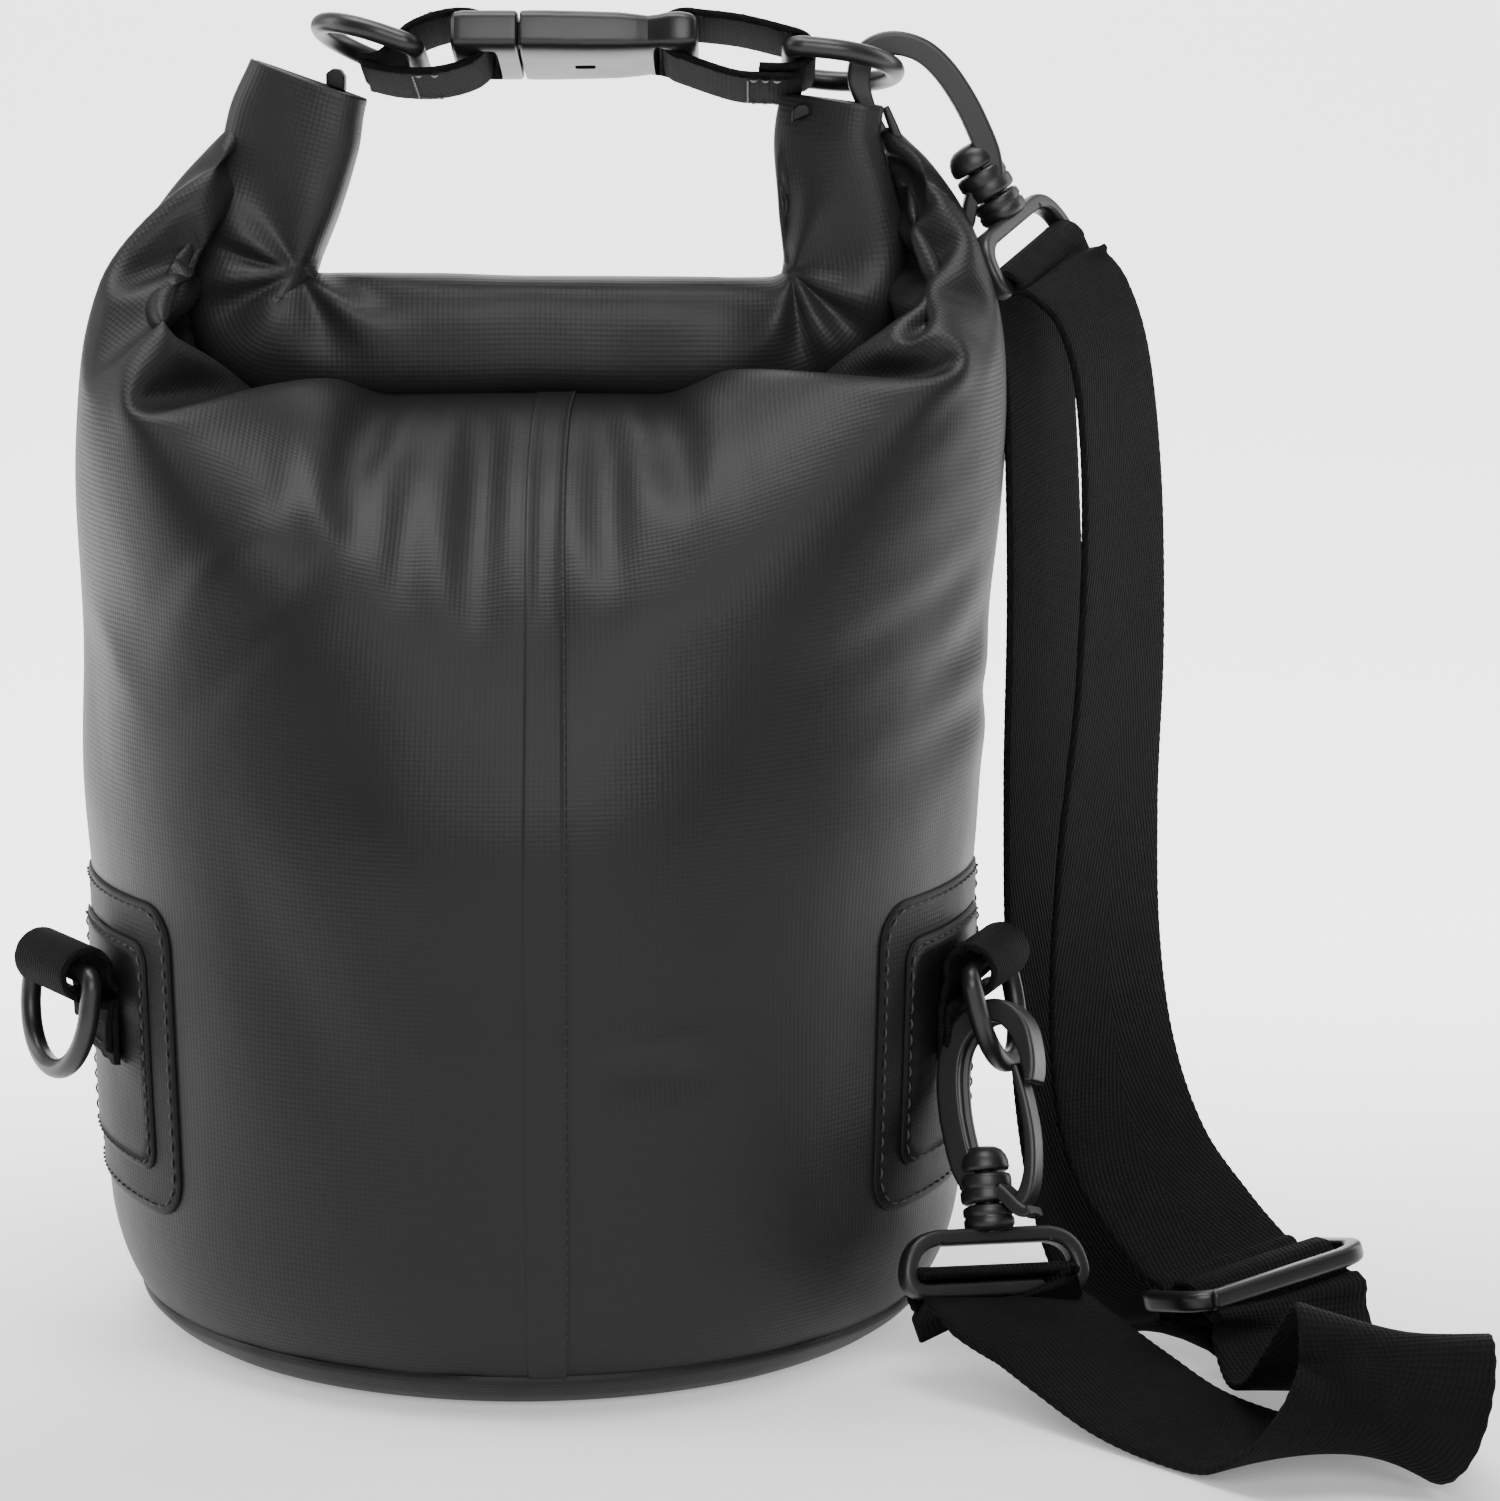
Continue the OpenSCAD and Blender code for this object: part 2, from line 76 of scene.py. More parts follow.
SHELL_LO, SHELL_HI = box_mm("bag_shell")
TOP_R = (SHELL_HI[0] - SHELL_LO[0]) / 2
BASE_R = TOP_R - 5.3
FOOT_R = (box_mm("base_disc")[1][0] - box_mm("base_disc")[0][0]) / 2
BASE_T = box_mm("base_disc")[1][2]
ROUND_H = 34.0  # height over which the bottom edge rounds in
TUBE_H = 182.0  # height at which the tube is at its full radius
LEFT_TURN, RIGHT_TURN = -158.0, -20.0  # directions of the side patches, degrees
ANCHOR_Z = joint_at("lower_left_ring_turn")[0][2]
ANCHOR_R = {side: np.hypot(*joint_at(f"lower_{side}_ring_turn")[0][:2]) for side in ("left", "right")}
ANCHOR_TWIST = {"left": 11.0, "right": 0.0}
SEAM_LO, SEAM_HI = box_mm("front_seam")
SEAM_AT = TOP_R * np.arcsin((SEAM_LO[0] + SEAM_HI[0]) / 2 / TOP_R)
SEAM_HALF = 4.5
STRAP_W = 38.0
WEB_W = 25.0
EYE_R = 5.4  # radius of the webbing's middle round a side ring's bar


def bag_r(z):
    """Radius of the bag's side at height z."""
    return BASE_R + (TOP_R - BASE_R) * (z - BASE_T) / (TUBE_H - BASE_T)


def skin_r(z):
    """Radius of the cloth, with the bottom edge rounding in to the base panel."""
    up = np.clip((np.asarray(z, float) - BASE_T) / (ROUND_H - BASE_T), 0, 1)
    return np.where(up < 1, FOOT_R + (bag_r(ROUND_H) - FOOT_R) * np.sqrt(1 - (1 - up) ** 2), bag_r(z))


def smooth(t):
    t = np.clip(t, 0, 1)
    return t * t * (3 - 2 * t)


def polar(r, a, z):
    """Points at radius r and angle a round the bag's axis, z up."""
    return np.stack(np.broadcast_arrays(r * np.cos(a), r * np.sin(a), z), -1)


def noise3(p, cell, seed):
    """Smooth value noise in -1..1 at points p, repeatable for a seed."""
    q = np.asarray(p, float) / cell + 100.0
    i = np.floor(q).astype(int)
    f = smooth(q - i)
    total = np.zeros(q.shape[:-1])
    for corner in np.ndindex(2, 2, 2):
        h = (i + corner) @ [374761393, 668265263, 2147483647] + seed * 974711
        h = (h ^ (h >> 13)) * 1274126177 & 0x7FFFFFFF
        total += ((h % 10007) / 5003.5 - 1) * np.where(corner, f, 1 - f).prod(-1)
    return total


def along(points, n):
    """n points spaced evenly along a smooth curve through the given points."""
    p = np.array(points, float)
    ext = np.vstack([2 * p[0] - p[1], p, 2 * p[-1] - p[-2]])
    out = []
    for k in range(len(p) - 1):
        a, b, c, d = ext[k : k + 4]
        for t in np.linspace(0, 1, 24, endpoint=False):
            out.append(0.5 * (2 * b + (c - a) * t + (2 * a - 5 * b + 4 * c - d) * t * t
                + (3 * b - a - 3 * c + d) * t ** 3))
    out.append(p[-1])
    out = np.array(out)
    s = run(out[:, :3])
    q = np.linspace(0, s[-1], n)
    return np.stack([np.interp(q, s, out[:, i]) for i in range(out.shape[1])], 1)


def unit(v):
    v = np.asarray(v, float)
    return v / np.maximum(np.linalg.norm(v, axis=-1, keepdims=True), 1e-9)


def run(p):
    """Length travelled along a line of points, at each of them."""
    return np.r_[0, np.cumsum(np.linalg.norm(np.diff(p, axis=0), axis=1))]


def along_xz(route, n):
    """n points along a route drawn as (x, z)."""
    return along([(x, 0.0, z) for x, z in route], n)


# ---- meshes ----


def quads(rows, cols, ring=True, loop=False):
    """Faces between rows of points; ring joins each row's ends, loop joins the last row to the first."""
    return [(i * cols + j, i * cols + (j + 1) % cols, (i + 1) % rows * cols + (j + 1) % cols, (i + 1) % rows * cols + j)
            for i in range(rows if loop else rows - 1) for j in range(cols if ring else cols - 1)]


def caps(rows, cols):
    """End faces of a tube made of such rows."""
    return [tuple(range(cols))[::-1], tuple((rows - 1) * cols + j for j in range(cols))]


def make(name, verts, faces, uvs=None, material=None, slot=None, smooth_shade=True):
    """A mesh object from points in millimetres; uvs holds one (u, v) per vertex or per face corner, in millimetres."""
    m = bpy.data.meshes.new(name)
    m.from_pydata([tuple(float(c) * MM for c in v) for v in verts], [], [tuple(int(i) for i in f) for f in faces])
    m.validate()
    o = bpy.data.objects.new(name, m)
    bpy.context.scene.collection.objects.link(o)
    if uvs is not None:
        layer = m.uv_layers.new(name="UVMap")
        corners = np.asarray(uvs, float)
        if len(corners) != len(m.loops):
            loops = np.empty(len(m.loops), int)
            m.loops.foreach_get("vertex_index", loops)
            corners = corners[loops]
        layer.data.foreach_set("uv", (corners * MM).astype(np.float32).ravel())
    if smooth_shade:
        m.polygons.foreach_set("use_smooth", [True] * len(m.polygons))
    if material:
        m.materials.append(material)
    return o


def grid(name, pts, uv, closed=False, **kw):
    """A quad sheet from an array of rows x columns x 3; a closed one carries its texture on over the join."""
    r, c = pts.shape[:2]
    over = np.concatenate([uv, 2 * uv[:, -1:] - uv[:, -2:-1]], 1)
    corners = [over[at] for i in range(r - 1) for j in range(c if closed else c - 1)
               for at in ((i, j), (i, j + 1), (i + 1, j + 1), (i + 1, j))]
    return make(name, pts.reshape(-1, 3), quads(r, c, ring=closed), corners, **kw)


def add(o, kind, name, **settings):
    m = o.modifiers.new(name, kind)
    for k, v in settings.items():
        setattr(m, k, v)
    return m


# ---- materials ----


class Nodes:
    """Short way to build a node material with constants set on the sockets."""

    def __init__(self, name):
        self.mat = bpy.data.materials.new(name)
        self.mat.use_nodes = True
        self.tree = self.mat.node_tree
        self.bsdf = self.tree.nodes["Principled BSDF"]

    def node(self, kind, **values):
        n = self.tree.nodes.new(kind)
        for k, v in values.items():
            if k in n.inputs:
                n.inputs[k].default_value = v
            else:
                setattr(n, k, v)
        return n

    def link(self, a, b):
        self.tree.links.new(a, b)

    def to(self, socket, value):
        """A number, a colour or another node's output on a socket of the shader."""
        if isinstance(value, bpy.types.NodeSocket):
            self.link(value, self.bsdf.inputs[socket])
        else:
            self.bsdf.inputs[socket].default_value = value

    def math(self, op, a, b=0.0):
        n = self.node("ShaderNodeMath", operation=op)
        for i, v in enumerate((a, b)):
            if isinstance(v, (int, float)):
                n.inputs[i].default_value = v
            else:
                self.link(v, n.inputs[i])
        return n.outputs[0]

    def mix(self, factor, low, high):
        n = self.node("ShaderNodeMix", data_type="RGBA")
        self.link(factor, n.inputs[0])
        n.inputs[6].default_value = (*low, 1)
        n.inputs[7].default_value = (*high, 1)
        return n.outputs[2]

    def bump(self, height, strength, distance, before=None):
        n = self.node("ShaderNodeBump", Strength=strength, Distance=distance)
        self.link(height, n.inputs["Height"])
        if before is not None:
            self.link(before, n.inputs["Normal"])
        return n.outputs[0]

    def uv(self):
        n = self.node("ShaderNodeUVMap", uv_map="UVMap")
        s = self.node("ShaderNodeSeparateXYZ")
        self.link(n.outputs[0], s.inputs[0])
        return s.outputs[0], s.outputs[1]

    def noise(self, scale, detail=3.0, vector=None, rough=0.5):
        n = self.node("ShaderNodeTexNoise", Scale=scale, Detail=detail, Roughness=rough)
        if vector is None:
            vector = self.node("ShaderNodeTexCoord").outputs["Object"]
        self.link(vector, n.inputs["Vector"])
        return n.outputs[0]


SCRIM_PITCH = 0.0011  # metres


def tarpaulin(name, base, rough=0.47, scrim=0.45, gloss=0.20):
    """Coated fabric: a fine woven scrim just shows through a satin coating."""
    t = Nodes(name)
    u, v = t.uv()
    weave_u = t.math("SINE", t.math("MULTIPLY", u, 2 * np.pi / SCRIM_PITCH))
    weave_v = t.math("SINE", t.math("MULTIPLY", v, 2 * np.pi / SCRIM_PITCH))
    weave = t.math("MULTIPLY", t.math("ADD", weave_u, weave_v), 0.5)
    cloud = t.noise(26.0, 4.0)
    grain = t.noise(900.0, 2.0)
    t.to("Base Color", t.mix(cloud, [c * 0.82 for c in base], [c * 1.2 for c in base]))
    t.to("Roughness", t.math("ADD", t.math("MULTIPLY", cloud, 0.16), rough - 0.08))
    soft = t.bump(t.noise(70.0, 3.0), 0.25, 0.0012)
    fine = t.bump(weave, scrim, 0.00006, soft)
    t.to("Normal", t.bump(grain, 0.12, 0.0001, fine))
    t.to("Specular IOR Level", gloss)
    t.to("Coat Weight", 0.03)
    t.to("Coat Roughness", 0.35)
    return t.mat


def webbing(name, base, width, rib=0.00115, depth=0.00028):
    """Woven strap: slanting lengthwise ribs that meet in a chevron on the centre line. u runs across, v along."""
    t = Nodes(name)
    u, v = t.uv()
    off = t.math("ABSOLUTE", t.math("SUBTRACT", u, width * MM / 2))
    ribs = t.math("SINE", t.math("MULTIPLY", t.math("ADD", off, t.math("MULTIPLY", v, 0.24)), 2 * np.pi / rib))
    yarn = t.math("SINE", t.math("MULTIPLY", v, 2 * np.pi / 0.0010))
    pattern = t.math("ADD", t.math("MULTIPLY", ribs, 0.72), t.math("MULTIPLY", yarn, 0.28))
    wear = t.noise(180.0, 4.0)
    t.to("Base Color", t.mix(t.math("ADD", t.math("MULTIPLY", pattern, 0.22), wear), [c * 0.55 for c in base],
        [c * 1.35 for c in base]))
    t.to("Roughness", 0.85)
    t.to("Specular IOR Level", 0.10)
    fine = t.bump(t.noise(2400.0, 2.0), 0.2, 0.0001)
    t.to("Normal", t.bump(pattern, 0.8, depth, fine))
    return t.mat


def plastic(name, base, rough=0.42):
    """Moulded nylon: satin, with a faint grain and handling wear."""
    t = Nodes(name)
    wear = t.noise(55.0, 5.0)
    t.to("Base Color", t.mix(wear, [c * 0.85 for c in base], [c * 1.2 for c in base]))
    t.to("Roughness", t.math("ADD", t.math("MULTIPLY", wear, 0.18), rough - 0.09))
    t.to("Specular IOR Level", 0.5)
    t.to("Normal", t.bump(t.noise(1500.0, 2.0), 0.18, 0.00012))
    return t.mat


def thread(name, base):
    t = Nodes(name)
    t.to("Base Color", t.mix(t.noise(3000.0, 1.0), [c * 0.8 for c in base], [c * 1.15 for c in base]))
    t.to("Roughness", 0.7)
    return t.mat


M_BAG = tarpaulin("bag_tarpaulin", (0.0105, 0.0105, 0.011))
# painted light: the roll's copy of the bag's fabric is drawn lighter, because this light reaches it less than the
# photo's does
M_ROLL_PAINTED_LIGHT = tarpaulin("roll_tarpaulin_painted_light", (0.0155, 0.0155, 0.0162), 0.44, 0.45, 0.26)
M_PATCH = tarpaulin("patch_tarpaulin", (0.004, 0.004, 0.0043), 0.55, 0.45, 0.14)
M_WEB = webbing("handle_webbing", (0.0036, 0.0036, 0.0038), WEB_W)
M_STRAP = webbing("strap_webbing", (0.0046, 0.0046, 0.0048), STRAP_W)
M_BUCKLE = plastic("buckle_plastic", (0.0055, 0.0055, 0.0058), 0.38)
M_RING = plastic("ring_plastic", (0.0065, 0.0065, 0.0068), 0.36)
M_HOOK = plastic("hook_plastic", (0.008, 0.008, 0.0083), 0.40)
M_THREAD = thread("pale_thread", (0.30, 0.30, 0.30))
M_DARK_THREAD = thread("dark_thread", (0.03, 0.03, 0.03))

# ---- bag shell: the tube is settled into the rolled mouth by a small cloth solver ----

COLS = 216
ROWS_UP = 66
ROWS_LOW = 44
STEPS = 520
GRIP_Z = 104.0  # below this height the tube is a plain turned shape
CLOTH_LEN = 170.0  # cloth from the grip up to the roll, at the sides
SLACK = 19.0  # how much shorter it is at the front and back; chosen to fit the photo
FILL_Z, FILL_TOP = 162.0, 201.0  # the filling is a dome between these heights
FLAT = 0.45  # how much the dome is pressed flatter at the front and back
LEAN = 42.0  # how much lower it starts there
GATHERS = 0.055  # share of the girth taken in towards the roll; chosen to fit the photo's outline
SWELL = 0.003  # outward push in each step
STIFF = 0.18  # resistance to folding
FAIR_ROWS, FAIR_PASSES = 8, 36
FABRIC, ROLL_FABRIC = 0.0007, 0.0008  # thickness in metres
# the line where the cloth enters the roll, from the left ear's tip over the roll to the right ear's tip (x, z)
ROLL_LINE = [(-60, 262), (-65.5, 248), (-70, 234), (-71.5, 221), (-69, 211), (-61, 206), (-40, 204.5), (0, 204),
    (40, 204.5), (60, 206), (70.5, 211), (77, 221), (80, 234), (79, 248), (75, 261)]


def roll_line():
    """Top ring of the tube: front half left to right, then the back half."""
    line = along_xz(ROLL_LINE, 721)
    s = run(line)
    flat_from = s[np.argmin(np.abs(line[:, 0] + 61) + (line[:, 2] > 208) * 99)]
    flat_to = s[np.argmin(np.abs(line[:, 0] - 60) + (line[:, 2] > 208) * 99)]
    half = np.pi * TOP_R
    spare = (half - (flat_to - flat_from)) / 2
    ring = np.zeros((COLS, 3))
    for j in range(COLS):
        turn = (2 * j / COLS + 0.5) % 2
        front = turn <= 1
        # the straight stretch isn't gathered: all the spare girth goes into the ears
        q = (turn if front else 2 - turn) * half
        at = np.interp(q, [0, spare, half - spare, half], [0, flat_from, flat_to, s[-1]])
        p = [np.interp(at, s, line[:, k]) for k in (0, 2)]
        depth = 3.4 * smooth(min(q, half - q) / 40) + 0.4
        ring[j] = [p[0], -depth if front else depth, p[1]]
    return ring


def pairs(ia, ib, pos, soft):
    return ia.ravel(), ib.ravel(), np.linalg.norm(pos[ia.ravel()] - pos[ib.ravel()], axis=1), soft


def settle():
    """Grid of points, from the grip height up to the roll, after the mouth has been flattened and rolled."""
    n, m = COLS, ROWS_UP
    ang = np.radians(-90 + 360 * np.arange(n) / n)
    # less cloth is left between the filling and the roll at the front and back than at the ears
    length = CLOTH_LEN - SLACK * (1 - smooth((np.abs(np.cos(ang)) - 0.25) / 0.6))
    z = GRIP_Z + length[None, :] * np.arange(m)[:, None] / (m - 1)
    # the girth is taken in towards the roll, or the sides bulge past the photo's outline
    r = np.minimum(bag_r(z), TOP_R) * (1 - GATHERS * smooth((z - 108) / 60))
    start = polar(r, ang, z).reshape(-1, 3)
    # first guess: straight up the filling, then over it in a quarter turn to the roll
    ring = roll_line()
    pos = np.zeros((m, n, 3))
    for j in range(n):
        foot = np.array([bag_r(GRIP_Z) * np.cos(ang[j]), bag_r(GRIP_Z) * np.sin(ang[j])])
        q = np.linspace(0, np.pi / 2, 40)
        over = np.stack([*(foot[k] + (ring[j, k] - foot[k]) * (1 - np.cos(q)) for k in (0, 1)),
            FILL_Z + (ring[j, 2] - FILL_Z) * np.sin(q)], 1)
        path = np.vstack([[foot[0], foot[1], GRIP_Z], over])
        s = run(path)
        at = np.linspace(0, s[-1], m)
        pos[:, j] = np.stack([np.interp(at, s, path[:, k]) for k in range(3)], 1)
    pos = pos.reshape(-1, 3)
    ids = np.arange(m * n).reshape(m, n)
    nxt = np.roll(ids, -1, 1)
    nx2 = np.roll(ids, -2, 1)
    sets = []
    for k in (0, 1):
        sets.append(pairs(ids[:, k::2], nxt[:, k::2], start, 0.95))
        sets.append(pairs(ids[k:-1:2], ids[k + 1 :: 2], start, 0.95))
        sets.append(pairs(ids[k:-1:2], nxt[k + 1 :: 2], start, 0.35))
        sets.append(pairs(nxt[k:-1:2], ids[k + 1 :: 2], start, 0.35))
    cols = np.arange(n)
    for k in (0, 2):
        pick = (cols % 4 == k) | (cols % 4 == k + 1)
        sets.append(pairs(ids[:, pick], nx2[:, pick], start, STIFF))
        rows = [i for i in range(m - 2) if i % 4 in (k, k + 1)]
        sets.append(pairs(ids[rows], ids[[i + 2 for i in rows]], start, STIFF))
    free = np.ones(m * n)
    free[ids[:2].ravel()] = 0
    free[ids[-1]] = 0
    batches = []
    for ia, ib, rest, soft in sets:
        w = free[ia] + free[ib]
        ok = w > 0
        batches.append((ia[ok], ib[ok], rest[ok], soft / w[ok], free[ia][ok], free[ib][ok]))
    last = pos.copy()
    for step in range(STEPS):
        move = (pos - last) * 0.92
        last = pos.copy()
        pos = pos + move * free[:, None]
        if step % 4 == 0:
            g = pos.reshape(m, n, 3)
            out = unit(np.cross(np.roll(g, -1, 1) - np.roll(g, 1, 1), np.gradient(g, axis=0))).reshape(-1, 3)
        pos += SWELL * out * free[:, None]
        for _ in range(2):
            for ia, ib, rest, k, wa, wb in batches:
                d = pos[ib] - pos[ia]
                length = np.linalg.norm(d, axis=1)
                c = (k * (length - rest) / np.maximum(length, 1e-6))[:, None] * d
                pos[ia] += c * wa[:, None]
                pos[ib] -= c * wb[:, None]
        # what is inside holds the tube round and domes the shoulder; at the front and back the roll pulls
        # the cloth in, so the dome starts lower there and is pressed flatter
        rad = np.hypot(pos[:, 0], pos[:, 1])
        facing = smooth((np.abs(pos[:, 1]) / np.maximum(rad, 1) - 0.3) / 0.6)
        dome_z = FILL_Z - LEAN * facing
        up = np.maximum(pos[:, 2] - dome_z, 0)
        full = 2 - FLAT * facing
        q = ((rad / (np.minimum(bag_r(pos[:, 2]), TOP_R) - 0.3)) ** full
            + (up / (FILL_TOP - dome_z)) ** full) ** (1 / full)
        push = (q < 1) & (free > 0)
        s = 1 / np.maximum(q[push], 0.2)
        pos[push, 0] *= s
        pos[push, 1] *= s
        pos[push, 2] = np.where(up[push] > 0, dome_z[push] + up[push] * s, pos[push, 2])
    return pos.reshape(m, n, 3)


def dents(p):
    """Shallow hollows and ridges in the tube's side, outward positive."""
    a = np.degrees(np.arctan2(p[..., 1], p[..., 0]))
    z = p[..., 2]
    out = 0.55 * noise3(p, 46.0, 3) + 0.25 * noise3(p, 19.0, 5)
    for ang, height, wide, tall, slant, depth in ((-73, 80, 8, 2.8, 0.10, 1.3), (-72, 73.5, 7, 4.2, -0.28, -1.7),
            (-83, 76, 4, 6, 0.5, 0.8), (-118, 88, 8, 26, 0.5, -1.4), (-128, 176, 4, 18, -0.9, 1.4),
            (-122, 165, 4, 18, -0.9, -1.3), (-60, 120, 10, 40, 0.3, -0.9), (-48, 60, 8, 30, -0.2, 0.9),
            (-104, 130, 7, 30, 0.15, 0.7), (-72, 168, 12, 8, 0.5, 1.0), (40, 90, 16, 30, 0.4, -2.0),
            (75, 60, 14, 24, -0.4, 1.8), (110, 120, 16, 22, 0.5, -2.2), (150, 70, 12, 30, 0.2, 1.5),
            (-160, 140, 10, 26, 0.3, -1.2), (-20, 150, 12, 20, -0.4, -1.2)):
        da = (a - ang + 180) % 360 - 180
        dz = z - height
        u = da * 1.7 + slant * dz
        out = out + depth * np.exp(-((u / (1.7 * wide)) ** 2) - (dz / tall) ** 2)
    fade = smooth((z - 6) / 26) * smooth((215 - z) / 30)
    for side in (LEFT_TURN, RIGHT_TURN):
        da = np.abs((a - side + 180) % 360 - 180)
        fade = fade * (1 - (1 - smooth((da - 22) / 14)) * (1 - smooth((z - 104) / 24)))
    return out * fade


upper = settle()
turn_in = BASE_T + (ROUND_H - BASE_T) * (1 - np.cos(np.linspace(0.06, np.pi / 2, ROWS_LOW // 3, endpoint=False)))
low_z = np.r_[turn_in, np.linspace(ROUND_H, GRIP_Z, ROWS_LOW - len(turn_in), endpoint=False)]
ang = np.radians(-90 + 360 * np.arange(COLS) / COLS)
lower = polar(skin_r(low_z)[:, None], ang, low_z[:, None])
shell_pts = np.concatenate([lower, upper])
# the line where the two halves meet is faired out
fair = np.exp(-(((np.arange(len(shell_pts)) - ROWS_LOW) / FAIR_ROWS) ** 2))[1:-1, None, None]
for _ in range(FAIR_PASSES):
    shell_pts[1:-1] += 0.5 * fair * ((shell_pts[:-2] + shell_pts[2:]) / 2 - shell_pts[1:-1])
flat = shell_pts[..., :2] / np.maximum(np.linalg.norm(shell_pts[..., :2], axis=-1, keepdims=True), 1e-6)
shell_pts[..., :2] += flat * dents(shell_pts)[..., None]
row_v = np.r_[np.linspace(low_z[len(turn_in)] - 42, low_z[len(turn_in)], len(turn_in), endpoint=False),
    low_z[len(turn_in):], GRIP_Z + CLOTH_LEN * np.arange(ROWS_UP) / (ROWS_UP - 1)]
shell_uv = np.zeros((*shell_pts.shape[:2], 2))
shell_uv[..., 0] = np.arange(COLS) * 2 * np.pi * TOP_R / COLS
shell_uv[..., 1] = row_v[:, None]
shell = grid("bag_tube", shell_pts, shell_uv, closed=True, material=M_BAG, slot="tarpaulin")
add(shell, "SOLIDIFY", "fabric", thickness=FABRIC, offset=-1.0)
add(shell, "SUBSURF", "soft", levels=1, render_levels=1)
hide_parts("bag_shell")

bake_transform(shell)

# ---- rolled mouth: a flattened spiral swept over the bag and up into both ears ----

ROLL_PATH = [(-47, 271), (-50, 262), (-54, 248), (-59, 234), (-61.5, 224), (-57, 217.2), (-46, 215.6), (-20, 215.8),
    (20, 215.6), (46, 215.2), (58, 216.4), (66, 222), (69, 232), (67, 246), (65, 258), (66, 267)]


def spiral(turns, half, thick, layers):
    """Flattened spiral section, from the core out: offsets (across, through)."""
    n = int(turns * 56)
    out = []
    for i in range(n + 1):
        t = 2 * np.pi * turns * i / n
        grow = i / n
        a = half * (0.80 + 0.20 * grow)
        b = thick * (1 - layers * (1 - grow))
        c, s = np.cos(t - np.pi / 2), np.sin(t - np.pi / 2)
        out.append([a * np.sign(s) * abs(s) ** 0.74, b * np.sign(c) * abs(c) ** 0.74])
    return np.array(out)


def make_roll():
    n = 200
    path = along_xz(ROLL_PATH, n)
    tang = unit(np.gradient(path, axis=0))
    side = np.cross(tang, [0, 1, 0])
    sec = spiral(3.0, 13.8, 11.2, 0.62)
    s = run(path)
    pts = np.zeros((n, len(sec), 3))
    for i in range(n):
        left, right = s[i], s[-1] - s[i]
        # the ears are squeezed flat and twist a little; the corners gather
        ear = 1 - smooth(left / 62) + (1 - smooth(right / 62))
        width = 1 + 0.10 * (1 - smooth(left / 40)) - 0.12 * (1 - smooth(left / 12)) - 0.10 * (1 - smooth(right / 30))
        flatness = 1 - 0.40 * ear
        twist = np.radians(-16 * (1 - smooth(left / 60)) + 34 * (1 - smooth(right / 66)))
        c, sn = np.cos(twist), np.sin(twist)
        w = sec[:, 0] * width
        d = sec[:, 1] * flatness
        u, v = w * c - d * sn, w * sn + d * c
        pts[i] = path[i] + side[i] * u[:, None] + np.array([0, 1, 0]) * v[:, None]
    for cx, cz, turn in ((-50.0, 230.5, 0.4), (57.0, 230.5, 2.1)):
        dx, dz = pts[..., 0] - cx, pts[..., 2] - cz
        rad = np.hypot(dx, dz)
        round_it = np.arctan2(dz, dx)
        fan = np.sin(6 * round_it + 1.7 * np.sin(2 * round_it + turn) + turn) * np.exp(-(((rad - 12) / 11) ** 2))
        pts[..., 1] += 1.4 * fan * np.sign(pts[..., 1])
    pts[..., 1] += 0.7 * noise3(pts, 13.0, 8) * np.sign(pts[..., 1])
    pts[..., 2] += 0.6 * noise3(pts, 21.0, 9)
    uv = np.zeros((n, len(sec), 2))
    around = run(sec)
    uv[..., 0] = s[:, None]
    uv[..., 1] = around
    # the roll wears the lightened copy of the bag's fabric, which is painted light
    o = grid("rolled_mouth", pts, uv, material=M_ROLL_PAINTED_LIGHT, slot="tarpaulin")
    add(o, "SOLIDIFY", "fabric", thickness=ROLL_FABRIC, offset=0.0)
    add(o, "SUBSURF", "soft", levels=1, render_levels=1)
    return o


roll = make_roll()
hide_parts("roll_top", "ear_left", "ear_right")
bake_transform(roll)

# ---- soft parts laid on the bag ----


def side_point(turn, along_side, z, lift):
    """Point on the bag's side: along_side millimetres round from the direction turn, lifted off the cloth."""
    a = np.radians(turn) + np.asarray(along_side, float) / TOP_R
    z = np.asarray(z, float) + 0 * a
    base = polar(skin_r(z), a, z)
    r = skin_r(z) + dents(base) + lift
    return polar(r, a, z)


def rounded(w, h, r, per_corner=7, per_side=14):
    """Closed outline of a rounded rectangle about the origin."""
    out = []
    corners = ((w / 2 - r, h / 2 - r, 0), (r - w / 2, h / 2 - r, 90), (r - w / 2, r - h / 2, 180),
        (w / 2 - r, r - h / 2, 270))
    for k, (cx, cy, start) in enumerate(corners):
        for t in np.linspace(0, 90, per_corner):
            q = np.radians(start + t)
            out.append((cx + r * np.cos(q), cy + r * np.sin(q)))
        nx, ny, ns = corners[(k + 1) % 4]
        q = np.radians(ns)
        end = np.array((nx + r * np.cos(q), ny + r * np.sin(q)))
        here = np.array(out[-1])
        for t in np.linspace(0, 1, per_side + 2)[1:-1]:
            out.append(tuple(here + (end - here) * t))
    return np.array(out)


